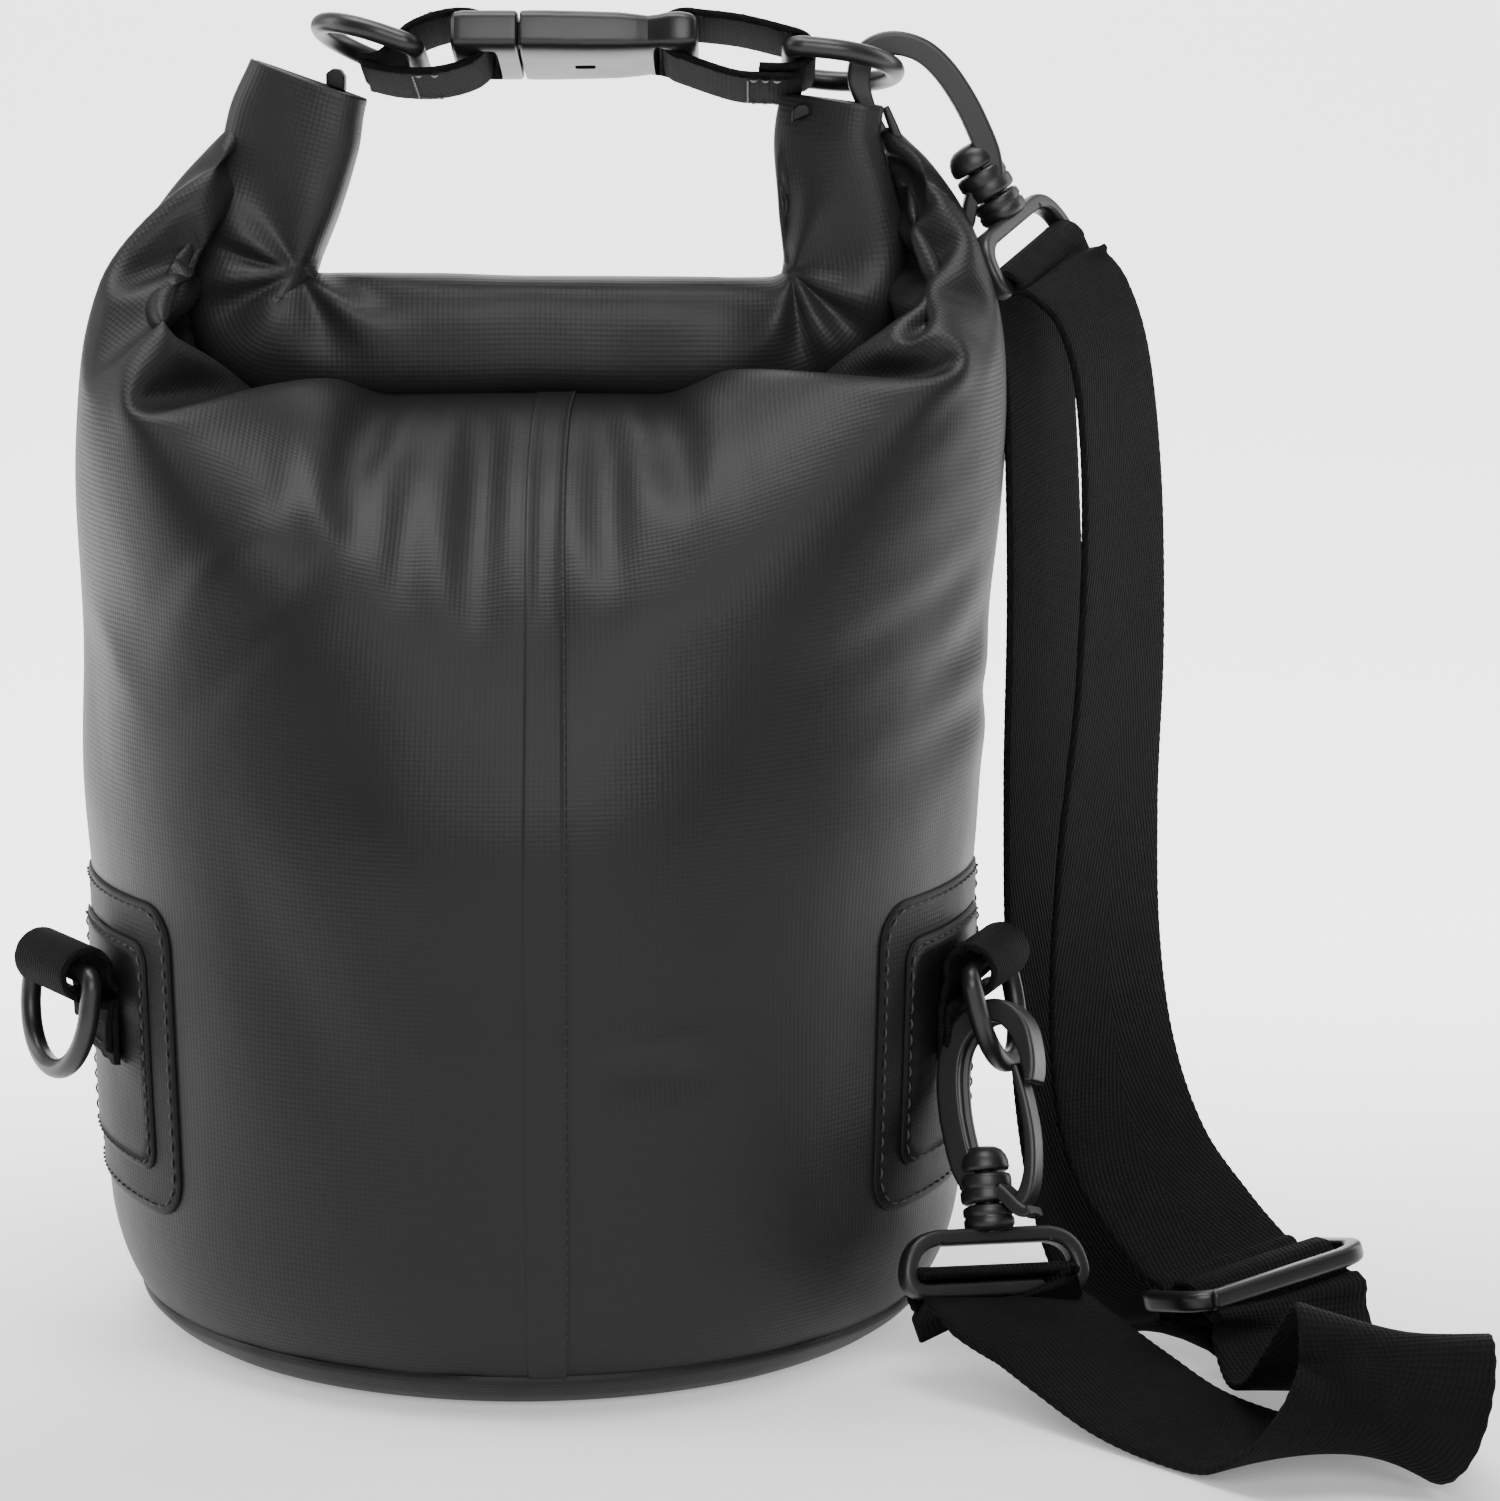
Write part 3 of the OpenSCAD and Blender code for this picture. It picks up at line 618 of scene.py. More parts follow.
def patch(name, turn, w, h, r, z_mid, lift, body="bag", edge=0.7):
    """Rounded patch that follows the bag's side, its rim rolled down onto the cloth."""
    line = rounded(w, h, r)
    rings = [0.25, 0.5, 0.7, 0.85, 0.94, 1 - 1.5 / (w / 2), 1 - 0.5 / (w / 2), 1.0, 1.0]
    rise = [0, 0, 0, 0, 0.0, 0.0, -0.12, -0.35, -edge]
    pts, uv = [], []
    for k, (q, up) in enumerate(zip(rings, rise)):
        at = line * q
        wave = 0.12 * noise3(np.c_[at, np.full(len(at), turn)], 9.0, 12)
        pts.append(side_point(turn, at[:, 0], z_mid + at[:, 1], lift + up + (wave if k < 7 else 0)))
        uv.append(at)
    centre = side_point(turn, [0.0], [z_mid], lift)[0]
    n = len(line)
    verts = [centre] + [v for ring in pts for v in ring]
    uvs = [(0, 0)] + [tuple(v) for ring in uv for v in ring]
    faces = [(0, 1 + j, 1 + (j + 1) % n) for j in range(n)]
    for k in range(len(rings) - 1):
        for j in range(n):
            a, b = 1 + k * n + j, 1 + k * n + (j + 1) % n
            faces.append((a, a + n, b + n, b))
    o = make(name, verts, faces, uvs, material=M_PATCH, slot="tarpaulin")
    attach(o, body)
    return o


def stitches(name, pts, normals, material, body, stitch=2.3, gap=1.1, wide=0.5, closed=False):
    """Row of thread stitches along a line on a surface: each is a small bowed grain."""
    pts, normals = np.asarray(pts, float), unit(normals)
    if closed:
        pts, normals = np.vstack([pts, pts[:1]]), np.vstack([normals, normals[:1]])
    s = run(pts)
    verts, faces = [], []
    count = max(1, int(s[-1] / (stitch + gap)))
    step = s[-1] / count
    for k in range(count):
        at = k * step + np.linspace(0, stitch, 7) + gap / 2
        mid = np.stack([np.interp(at, s, pts[:, i]) for i in range(3)], 1)
        nor = unit(np.stack([np.interp(at, s, normals[:, i]) for i in range(3)], 1))
        tan = unit(np.gradient(mid, axis=0))
        sid = np.cross(tan, nor)
        base = len(verts)
        for i in range(7):
            bow = np.sin(np.pi * i / 6)
            for q in np.linspace(0, 2 * np.pi, 6, endpoint=False):
                fat = wide / 2 * (0.35 + 0.65 * bow)
                verts.append(mid[i] + nor[i] * (0.28 * bow - 0.05 + fat * np.sin(q)) + sid[i] * fat * np.cos(q))
        for i in range(6):
            for q in range(6):
                r = (q + 1) % 6
                faces.append((base + i * 6 + q, base + i * 6 + r, base + i * 6 + 6 + r, base + i * 6 + 6 + q))
    o = make(name, verts, faces, material=material)
    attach(o, body)
    return o


def ribbon(name, pts, across, width, thick, material, slot, cup=0.0, fray=0.0):
    """Woven strap along a line: flat section with rounded selvedges. Texture u runs across it and v along."""
    pts = np.asarray(pts, float)
    n = len(pts)
    tan = unit(np.gradient(pts, axis=0))
    acr = np.asarray(across, float) + np.zeros((n, 3))
    acr = unit(acr - (acr * tan).sum(1)[:, None] * tan)
    nor = np.cross(tan, acr)
    s = run(pts)
    flat = np.linspace(-1, 1, 13)
    sec = [(x * (width / 2 - 0.5), thick / 2) for x in flat]
    sec += [(width / 2 - 0.16, thick * 0.36), (width / 2, 0), (width / 2 - 0.16, -thick * 0.36)]
    sec += [(x * (width / 2 - 0.5), -thick / 2) for x in flat[::-1]]
    sec += [(0.16 - width / 2, -thick * 0.36), (-width / 2, 0), (0.16 - width / 2, thick * 0.36)]
    sec = np.array(sec)
    grid_pts = np.zeros((n, len(sec), 3))
    uv = np.zeros((n, len(sec), 2))
    for i in range(n):
        scallop = 1 + 0.006 * np.sin(2 * np.pi * s[i] / 2.3)
        bend = cup * (1 - (sec[:, 0] / (width / 2)) ** 2)
        grid_pts[i] = pts[i] + acr[i] * sec[:, :1] * scallop + nor[i] * (sec[:, 1:] + bend[:, None])
        uv[i, :, 0] = sec[:, 0] + width / 2
        uv[i, :, 1] = s[i]
    if fray:
        for i in (0, n - 1):
            push = fray * noise3(np.c_[sec * 3, np.full(len(sec), i)], 1.6, 4)
            grid_pts[i] += tan[i] * push[:, None]
    c = len(sec)
    faces = quads(n, c) + caps(n, c)
    return make(name, grid_pts.reshape(-1, 3), faces, uv.reshape(-1, 2), material=material, slot=slot)


# front seam: a narrow tape over the weld, from the hem up to the roll
seam_rows = shell_pts[4:-3]
seam_off = np.r_[-SEAM_HALF, 0.35 - SEAM_HALF, np.linspace(0.9 - SEAM_HALF, SEAM_HALF - 0.7, 9), SEAM_HALF - 0.25,
    SEAM_HALF]
seam = np.zeros((len(seam_rows), len(seam_off), 3))
per_col = 2 * np.pi * TOP_R / COLS
for i, row in enumerate(seam_rows):
    cols = (SEAM_AT + seam_off) / per_col
    k0 = np.floor(cols).astype(int)
    f = (cols - k0)[:, None]
    base = row[k0 % COLS] * (1 - f) + row[(k0 + 1) % COLS] * f
    seam[i] = base
seam_n = unit(np.cross(np.gradient(seam, axis=1), np.gradient(seam, axis=0)))
# the left edge is pressed flat by the weld, the right edge stands a little proud
lift = np.interp(seam_off, [-SEAM_HALF, 0.35 - SEAM_HALF, 0, SEAM_HALF - 0.9, SEAM_HALF - 0.25, SEAM_HALF],
    [0.12, 0.40, 0.42, 0.5, 0.85, 0.2])
seam_uv = np.zeros((*seam.shape[:2], 2))
seam_uv[..., 0] = seam_off
seam_uv[..., 1] = row_v[4:-3, None]
seam_tape = grid("seam_tape", seam + seam_n * lift[None, :, None], seam_uv, material=M_BAG, slot="tarpaulin")
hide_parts("front_seam")
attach(seam_tape, "bag")
# a fine row of thread specks along the raised edge
edge = (seam + seam_n * (lift + 0.05)[None, :, None])[3:-2, -2]
stitches("seam_edge_specks", edge, seam_n[3:-2, -2], M_DARK_THREAD, "bag", stitch=0.7, gap=1.5, wide=0.22)


def lathe(name, profile, ripple, material, slot, seed):
    """Ring of cloth: a radius and height profile turned about Z, with a slight ripple."""
    n = 220
    a = np.linspace(0, 2 * np.pi, n, endpoint=False)
    prof = along_xz(profile, 40)
    pts = np.zeros((len(prof), n, 3))
    uv = np.zeros((len(prof), n, 2))
    s = run(prof)
    for i, (r, _, z) in enumerate(prof):
        wob = ripple * noise3(polar(r, a, z) * [1, 1, 0.4], 11.0, seed) * min(1, max(z, 0) / 2)
        pts[i] = polar(r + wob, a, z + 0.5 * wob * min(1, max(z, 0) / 3))
        uv[i, :, 0] = a * BASE_R
        uv[i, :, 1] = s[i]
    return grid(name, pts, uv, closed=True, material=material, slot=slot)


def edge_at(degrees, out):
    """Radius and height on the rounded bottom edge, moved outward."""
    q = np.radians(degrees)
    r = FOOT_R + (bag_r(ROUND_H) - FOOT_R + out) * np.sin(q)
    return r, BASE_T + (ROUND_H - BASE_T) * (1 - np.cos(q)) - out * np.cos(q)


HEM = [(37.5, 0.0), (37, 0.9), (34, 1.25), (24, 1.3), (14, 1.45), (9, 1.5), (7, 0.9), (6, 0.2)]
hem = lathe("hem_band", [edge_at(*at) for at in HEM], 0.45, M_BAG, "tarpaulin", 21)
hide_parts("base_hem")
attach(hem, "bag")
PANEL = [(FOOT_R + 1.4, 2.4), (FOOT_R + 1.2, 1.6), (FOOT_R - 0.2, 0.6), (FOOT_R - 4, 0.1), (60, 0.05), (35, 0.3),
    (0.02, 0.4)]
bottom = lathe("base_panel", PANEL, 0.2, M_BAG, "tarpaulin", 22)
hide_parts("base_disc")
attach(bottom, "bag")

PATCH_Z, INNER_Z = ((low[2] + high[2]) / 2 for low, high in map(box_mm, ("patch_left_outer", "patch_left_inner")))
for side, turn in (("left", LEFT_TURN), ("right", RIGHT_TURN)):
    outer = patch(f"patch_{side}_lower_layer", turn, 68, 68, 9, PATCH_Z, 0.95)
    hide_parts(f"patch_{side}_outer")
    inner = patch(f"patch_{side}_upper_layer", turn, 50, 50, 5, INNER_Z, 1.75)
    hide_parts(f"patch_{side}_inner")
    for tag, w, r, z, rise in (("rim", 64.5, 7.5, PATCH_Z, 1.0), ("ridge", 47, 4, INNER_Z, 1.8)):
        line = rounded(w, w, r, 6, 16)
        at = side_point(turn, line[:, 0], z + line[:, 1], rise)
        stitches(f"patch_{side}_{tag}_stitch", at, at * [1, 1, 0], M_DARK_THREAD, "bag", closed=True)

# webbing eyes that hold the side rings: up from the sewn tail, round the ring's bar and back down
for side, turn in (("left", LEFT_TURN), ("right", RIGHT_TURN)):
    skin = bag_r(ANCHOR_Z) + 1.5
    rz = [(skin + 0.3, 64.5), (skin + 0.4, 70), (skin + 0.5, 76), (skin + 1.2, 80)]
    at_r = ANCHOR_R[side]
    rz += [(at_r + EYE_R * np.cos(q), ANCHOR_Z + EYE_R * np.sin(q))
        for q in np.radians([200, 160, 120, 80, 40, 0, -40, -75])]
    rz += [(at_r - 1.6, ANCHOR_Z - 6.6), (skin + 2.3, 76.2), (skin + 2.0, 71.5), (skin + 1.85, 67.5)]
    a = np.radians(turn)
    line = along_xz(rz, 90)
    # the eye is turned away from square to its sewn tail, about the ring's bar
    yaw = a + np.radians(ANCHOR_TWIST[side]) * smooth((line[:, 2] - 71) / 6.5)
    off = line[:, 0] - at_r
    line = np.stack([at_r * np.cos(a) + off * np.cos(yaw), at_r * np.sin(a) + off * np.sin(yaw), line[:, 2]], 1)
    wide = np.stack([-np.sin(yaw), np.cos(yaw), 0 * yaw], 1)
    web = ribbon(f"ring_eye_{side}", line, wide, WEB_W, 1.5, M_WEB, "handle_webbing", fray=0.6)
    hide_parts(f"anchor_{side}")
    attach(web, "bag")
    out = np.array([np.cos(a), np.sin(a), 0.0])
    tang = np.array([-np.sin(a), np.cos(a), 0.0])
    for k, (z0, more) in enumerate(((68.9, 0), (73.6, 0.1))):
        row = [out * (skin + 2.75 + more) + tang * x + np.array([0, 0, z0]) for x in np.linspace(-10, 10, 16)]
        stitches(f"ring_eye_{side}_stitch_{k}", row, [out] * 16, M_DARK_THREAD, "bag", stitch=1.9)

# ---- handle webbing ----

HANDLE_TURN = np.radians(-14)


def on_handle(p):
    """From the handle's own tilted frame to the bag's."""
    p = np.asarray(p, float)
    c, sn = np.cos(HANDLE_TURN), np.sin(HANDLE_TURN)
    return np.stack([p[..., 0], c * p[..., 1] - sn * p[..., 2], sn * p[..., 1] + c * p[..., 2] + 278.5], -1)


WEB_LEFT = [(-34.5, -6.6), (-28, -8.0), (-20, -8.2), (-13, -6.6), (-9.2, -4), (-8.4, 0), (-9.4, 3.6), (-13.5, 4.6),
    (-19, 3.8), (-25, 1.2), (-29.5, -3.6), (-32.5, -5.1), (-35.5, -5.0)]
WEB_RIGHT = [(50, -7.2), (56, -7.3), (60.2, -6.2), (61.4, -3.4), (59.7, -0.6), (55, 1), (46, 3.2), (38, 4.2),
    (33.8, 4.6), (30.6, 3.4), (29.5, 0), (30.6, -3.6), (35, -5.6), (44, -8.6), (50, -9.3), (59, -9.4)]
across = on_handle([0, 1, 0]) - on_handle([0, 0, 0])
for side, route, body in (("left", WEB_LEFT, "handle_left"), ("right", WEB_RIGHT, "bag")):
    line = on_handle(along_xz(route, 130))
    web = ribbon(f"handle_loop_{side}", line, across, WEB_W, 1.6, M_WEB, "handle_webbing", fray=0.4)
    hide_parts(f"handle_web_{side}")
    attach(web, body)

up = on_handle([0, 0, 1]) - on_handle([0, 0, 0])
HANDLE_ROWS = [("left_top", -21.5, -15.5, 3.3, 4.3, "handle_left", 1),
    ("left_low", -24, -17, -8.1, -8.05, "handle_left", -1),
    ("right_top", 40, 48, 3.9, 2.8, "bag", 1),
    ("right_low", 47.5, 55, -9.1, -9.35, "bag", -1)]
for name, x0, x1, z0, z1, body, flip in HANDLE_ROWS:
    for k, y in enumerate((-10.5, 10.5)):
        row = [on_handle([x0 + (x1 - x0) * t, y, z0 + (z1 - z0) * t + flip * 0.95]) for t in np.linspace(0, 1, 12)]
        stitches(f"handle_stitch_{name}_{k}", row, [up * flip] * 12, M_THREAD, body, stitch=1.6, gap=0.9)
    row = [on_handle([x0, y, z0 + flip * 0.95]) for y in np.linspace(-10.5, 10.5, 16)]
    stitches(f"handle_stitch_{name}_end", row, [up * flip] * 16, M_THREAD, body, stitch=1.6, gap=0.9)

# ---- shoulder strap: one long webbing, drawn as the loop through the upper swivel and the length on the floor ----

FRONT_RUN = [(117, -3.5, 229.5), (122.5, -5, 223), (127, -5, 208), (129.5, -5, 180), (129.5, -6, 144),
    (127.5, -7, 110), (127, -9, 80), (129, -13, 56), (134, -21, 38), (142, -33, 27), (149, -43.5, 23.4)]
REAR_RUN = [(109.2, 0, 224.4), (110.2, 2, 214), (112, 4, 196), (113.5, 6, 160), (114, 6, 120), (115.5, 4, 84),
    (119, -2, 52), (124.5, -12, 27), (132, -24, 11), (140, -35, 7.4), (147, -45.6, 10.4)]
FLOOR_RUN = [(163.5, -67, 10.6), (165.5, -80, 5.6), (168, -95, 8), (170.5, -108, 16), (172.5, -119, 25),
    (173.6, -126.5, 30), (174.2, -132.5, 29.6), (173.8, -137, 24.6), (171.5, -138.6, 17.6), (167, -136, 11.4),
    (160.5, -128.5, 6.6), (152, -118, 3), (142, -107, 2), (131.5, -96, 3.4), (121, -85, 8), (111.5, -74.5, 12.6)]
FLOOR_ACROSS = [(0.86, 0.46, 0.08), (0.95, 0.22, 0), (0.98, -0.06, -0.06), (0.96, -0.22, -0.10), (0.94, -0.30, -0.12),
    (0.93, -0.33, -0.12), (0.93, -0.34, -0.12), (0.93, -0.32, -0.16), (0.93, -0.22, -0.24), (0.92, 0.06, -0.26),
    (0.86, 0.42, -0.14), (0.78, 0.60, 0.02), (0.75, 0.65, 0.02), (0.76, 0.64, 0), (0.80, 0.60, -0.02),
    (0.86, 0.50, -0.06)]
UPPER_BAR, UPPER_BAR_DIR = np.array([110.3, 0, 231.1]), unit([0.41, 0.88, 0.25])
LOWER_BAR, LOWER_BAR_DIR = np.array([100, -63.3, 19.8]), unit([0.91, 0.40, -0.08])
SLIDER_AT = np.array([156, -53, 18.6])
SLIDER_TURN = np.array(Matrix.Rotation(np.radians(32), 3, "Z") @ Matrix.Rotation(np.radians(-6), 3, "Y")
    @ Matrix.Rotation(np.radians(-14), 3, "X"))


def on_slider(*route):
    """Points (y, z) of the webbing in the slider's own frame, moved to the bag's."""
    return [SLIDER_AT + SLIDER_TURN @ np.array([0, y, z], float) for y, z in route]


def arc(centre, axis, start, degrees, r, n):
    """n points round a bar, beginning on its side that faces start."""
    axis = unit(axis)
    s0 = unit(np.asarray(start, float) - np.dot(start, axis) * axis)
    t0 = np.cross(axis, s0)
    return [centre + r * (np.cos(q) * s0 + np.sin(q) * t0) for q in np.radians(np.linspace(0, degrees, n))]


# across the upper loop, from the front run's end on the slider, up, over the bar and down the rear run
top_arc = arc(UPPER_BAR, UPPER_BAR_DIR, (0.75, -0.35, -0.1), -200, 4.0, 9)
front_end = on_slider((10.5, -3.6), (7.6, -2.6), (7.4, 1.2), (9.6, 3.9), (12.5, 4.6))
rear_end = on_slider((9.6, -6.4), (6.6, -4.6), (4.4, -0.6), (2.6, 2.9), (0, 3.6), (-3.2, 2.6), (-5.0, -1.0),
    (-8.6, -3.8), (-11.4, -4.4))
upper = front_end + FRONT_RUN[-2::-1] + top_arc + REAR_RUN[1:]
wa = [SLIDER_TURN @ np.array([1.0, 0, 0])] * 5
front_across = [(0.83, 0.52, 0.10), (0.79, 0.57, 0.11), (0.72, 0.65, 0.12), (0.66, 0.72, 0.14), (0.60, 0.77, 0.17),
    (0.54, 0.81, 0.19), (0.49, 0.84, 0.21), (0.45, 0.86, 0.23), (0.42, 0.87, 0.24), (0.40, 0.87, 0.25)]
rear_across = [(0.41, 0.88, 0.25), (0.43, 0.87, 0.22), (0.46, 0.86, 0.2), (0.5, 0.84, 0.18), (0.54, 0.82, 0.17),
    (0.6, 0.78, 0.15), (0.68, 0.72, 0.13), (0.75, 0.64, 0.12), (0.8, 0.58, 0.11), (0.83, 0.54, 0.1)]
acr = wa + front_across + [UPPER_BAR_DIR] * len(top_arc) + rear_across


def swept(points, across, n):
    """Evenly spaced points of a strap with their across directions."""
    both = along([(*p, *unit(w)) for p, w in zip(points, across)], n)
    return both[:, :3], both[:, 3:]


line, wide = swept(upper + rear_end[:5], acr + wa, 620)
loop = ribbon("strap_hanging", line, wide, STRAP_W, 1.7, M_STRAP, "strap_webbing", fray=0.5)
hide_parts("strap_run_front", "strap_run_rear", "strap_eye_upper")
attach(loop, "bag")

low_arc = arc(LOWER_BAR, LOWER_BAR_DIR, (0.25, -0.75, -0.6), 260, 4.0, 10)
floor_across = wa[:1] * len(rear_end[4:]) + FLOOR_ACROSS + [LOWER_BAR_DIR] * len(low_arc)
line, wide = swept(rear_end[4:] + FLOOR_RUN + low_arc, floor_across, 460)
# its lower selvedge rests on the floor
line[:, 2] += np.maximum(0, 0.95 + STRAP_W / 2 * np.abs(wide[:, 2]) - line[:, 2])
floor_strap = ribbon("strap_floor", line, wide, STRAP_W, 1.7, M_STRAP, "strap_webbing", fray=0.5)
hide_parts("strap_floor_loop", "strap_eye_lower")
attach(floor_strap, "bag")

# ---- moulded hooks, swivels, buckle and slider ----

SLOT_OF = {part["node"]: part["material_slot"] for part in frame["record"]["subparts"]}
BODY_OF = {node: body for body, nodes in frame["record"]["behaviour"]["bodies"].items() for node in nodes}
LOOK = {"tarpaulin": M_BAG, "handle_webbing": M_WEB, "strap_webbing": M_STRAP, "buckle_plastic": M_BUCKLE,
    "ring_plastic": M_RING, "hook_plastic": M_HOOK}


def place(p, at, *turns):
    """Points from a part's own frame to the bag's; turns are (axis, degrees), outermost first."""
    m = Matrix.Identity(3)
    for axis, deg in turns:
        m = m @ Matrix.Rotation(np.radians(deg), 3, axis)
    return np.asarray(p, float) @ np.array(m).T + np.array(at, float)


def fillet(corners, n=5):
    """Closed outline whose corners (x, y, radius) are rounded off by n points each."""
    out = []
    k = len(corners)
    for i in range(k):
        a, b, c = (np.array(corners[j % k][:2], float) for j in (i - 1, i, i + 1))
        p = b + unit(a - b) * min(corners[i][2], 0.48 * np.linalg.norm(a - b))
        q = b + unit(c - b) * min(corners[i][2], 0.48 * np.linalg.norm(c - b))
        out += [(1 - t) ** 2 * p + 2 * t * (1 - t) * b + t * t * q for t in np.linspace(0, 1, n)]
    return np.array(out)


def bar(w, h, r):
    """Section of a plain bar: half width, half height and corner radius."""
    return fillet([(-w, -h, r), (w, -h, r), (w, h, r), (-w, h, r)])


def beam(path, side, sections, closed=False):
    """Points and faces of a solid swept along a path; each section lies across it, side being its first axis."""
    path = np.asarray(path, float)
    n, m = len(path), len(sections[0])
    tan = unit(np.roll(path, -1, 0) - np.roll(path, 1, 0)) if closed else unit(np.gradient(path, axis=0))
    side = np.asarray(side, float) + np.zeros((n, 3))
    side = unit(side - (side * tan).sum(1)[:, None] * tan)
    nor = np.cross(tan, side)
    verts = [path[i] + side[i] * u + nor[i] * v for i in range(n) for u, v in sections[i]]
    return verts, quads(n, m, loop=closed) + ([] if closed else caps(n, m))


def turned(profile, n=48):
    """Points and faces of a closed (radius, height) outline turned about Z."""
    m = len(profile)
    around = np.linspace(0, 2 * np.pi, n, endpoint=False)
    verts = [(r * np.cos(q), r * np.sin(q), z) for q in around for r, z in profile]
    return verts, [(i * m + j, (i + 1) % n * m + j, (i + 1) % n * m + (j + 1) % m, i * m + (j + 1) % m)
        for i in range(n) for j in range(m)]


def moulded(name, pieces, node, move, bevel=0.0):
    """One object from several solids in a part's own frame, standing in for its CAD node."""
    verts, faces = [], []
    for v, f in pieces:
        base = len(verts)
        verts += list(v)
        faces += [tuple(i + base for i in face) for face in f]
    verts = move(np.array(verts))
    uv = np.stack([verts[:, 0] + verts[:, 1], verts[:, 2]], 1)
    o = make(name, verts, faces, uv, material=LOOK[SLOT_OF[node]], slot=SLOT_OF[node])
    if bevel:
        add(o, "BEVEL", "moulded_edges", width=bevel * MM, segments=3, limit_method="ANGLE", angle_limit=np.radians(30))
    add(o, "WEIGHTED_NORMAL", "even_shading", keep_sharp=True)
    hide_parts(node)
    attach(o, BODY_OF[node])
    return o


# hook: a spine and crown with a channel moulded into its inner face; rows are (x, z, half thickness)
HOOK_LINE = [(1.7, -3.0, 1.5), (2.6, 1.0, 2.2), (3.9, 5.5, 2.6), (4.9, 12, 2.6), (5.3, 18, 2.6), (4.9, 25, 2.6),
    (3.2, 30.8, 2.6), (-0.2, 35.0, 2.6), (-4.3, 37.1, 2.5), (-8.6, 36.6, 2.5), (-11.8, 33.2, 2.4), (-13.2, 28.4, 1.9),
    (-13.5, 24, 1.5), (-13.2, 20.8, 1.0)]
FOOT_LINE = [(-3.4, -0.6, 1.6), (-5.4, -2.6, 1.5), (-7.6, -5.2, 1.5), (-9.2, -6.2, 1.3), (-10.6, -6.0, 0.9)]
GATE_LINE = [(-7.5, -4.6, 1.6), (-9.7, -1.8, 1.5), (-11.2, 3, 1.3), (-11.8, 10, 1.2), (-11.3, 17, 1.1),
    (-10.7, 21, 1.0), (-10.0, 25.1, 0.8)]


def channel(h, half, lip, deep, outward=1):
    """Section of a beam: a flat outer face with round edges and a channel in the other face."""
    left = [(-half, h, 1.1), (-half, -h, 0.6), (-half + lip, -h, 0.5), (-half + lip + 0.3, deep - h, 0.5)]
    return fillet([(x, outward * y, r) for x, y, r in left + [(-x, y, r) for x, y, r in left[::-1]]])


def flat_beam(line, half, lip, deep, n, outward=1):
    pts = along([(x, 0.0, z, h) for x, z, h in line], n)
    return beam(pts[:, :3], (0, -1, 0), [channel(h, half, lip, min(deep, h), outward) for h in pts[:, 3]])


COLLAR = [(2.7, -3.3), (4.8, -3.3), (5.4, -2.9), (5.6, -2.3), (5.6, -0.7), (5.3, -0.35), (5.3, 0.0), (5.6, 0.35),
    (5.6, 2.0), (5.4, 2.6), (4.8, 2.9), (2.7, 2.9)]
BARREL = [(2.4, -9.4), (4.2, -9.4), (5.0, -8.6), (5.4, -7.9), (5.4, -6.7), (5.05, -6.3), (5.05, -6.0), (5.4, -5.6),
    (5.4, -4.5), (5.1, -4.0), (4.6, -3.75), (2.4, -3.75)]
DOME = [(0.01, 3.4), (4.7, 3.4), (5.2, 3.7), (5.4, 4.3), (5.3, 5.6), (4.9, 6.8), (4.1, 7.9), (2.9, 8.6), (1.4, 8.85),
    (0.01, 8.9)]
PIN = [(0.01, -9.6), (2.5, -9.6), (2.5, 4), (0.01, 4)]
LOOP = fillet([(21.5, -21.4, 6), (18.4, -10.2, 7), (-18.4, -10.2, 7), (-21.5, -21.4, 6)], 9)
loop_line = along([(x, 0.0, z) for x, z in np.vstack([LOOP, LOOP[:1]])], 97)[:-1]
loop_bar = beam(loop_line, (0, 1, 0), [bar(2.2, 1.75, 1.3)] * 96, closed=True)

HOOK_UP = ((99, 0, 249.3), ("Y", -31.8))
HOOK_LOW = ((98.2, -55.4, 39.2), ("Z", 103), ("Y", 22.7), ("Z", 54.3))
for side, where, loop_turn in (("upper", HOOK_UP, 61.5), ("lower", HOOK_LOW, 47.0)):
    body = [flat_beam(HOOK_LINE, 4.0, 1.5, 1.3, 90), flat_beam(FOOT_LINE, 3.9, 1.6, 0.3, 26), turned(COLLAR)]
    gate = [flat_beam(GATE_LINE, 3.0, 0.9, 0.7, 60, -1)]
    swivel = [turned(BARREL), turned(DOME), turned(PIN, 24), loop_bar]
    moulded(f"snap_hook_{side}", body, f"hook_{side}", lambda v: place(v, *where))
    moulded(f"snap_gate_{side}", gate, f"gate_{side}", lambda v: place(v, *where))
    moulded(f"swivel_ring_{side}", swivel, f"swivel_{side}", lambda v: place(v, *where, ("Z", loop_turn)))

# slider: a round-cornered frame with its ends bowed up, and a middle bar under the webbing
frame_line = fillet([(22.6, -10.0, 6), (22.6, 10.0, 6), (-22.6, 10.0, 6), (-22.6, -10.0, 6)], 9)
frame_line = along([(x, y, 0.9 * (x / 22.6) ** 4) for x, y in np.vstack([frame_line, frame_line[:1]])], 121)[:-1]
frame_section = fillet([(-2.1, -1.85, 1.2), (2.1, -1.85, 1.2), (2.1, 1.85, 1.5), (-2.1, 1.85, 1.2)])
frame_bar = beam(frame_line, (0, 0, 1), [frame_section] * 120, closed=True)
middle = beam([(x, 0, 0) for x in np.linspace(-21.6, 21.6, 12)], (0, 1, 0), [bar(1.9, 1.5, 0.8)] * 12)
moulded("slider_frame", [frame_bar, middle], "slider", lambda v: v @ SLIDER_TURN.T + SLIDER_AT)


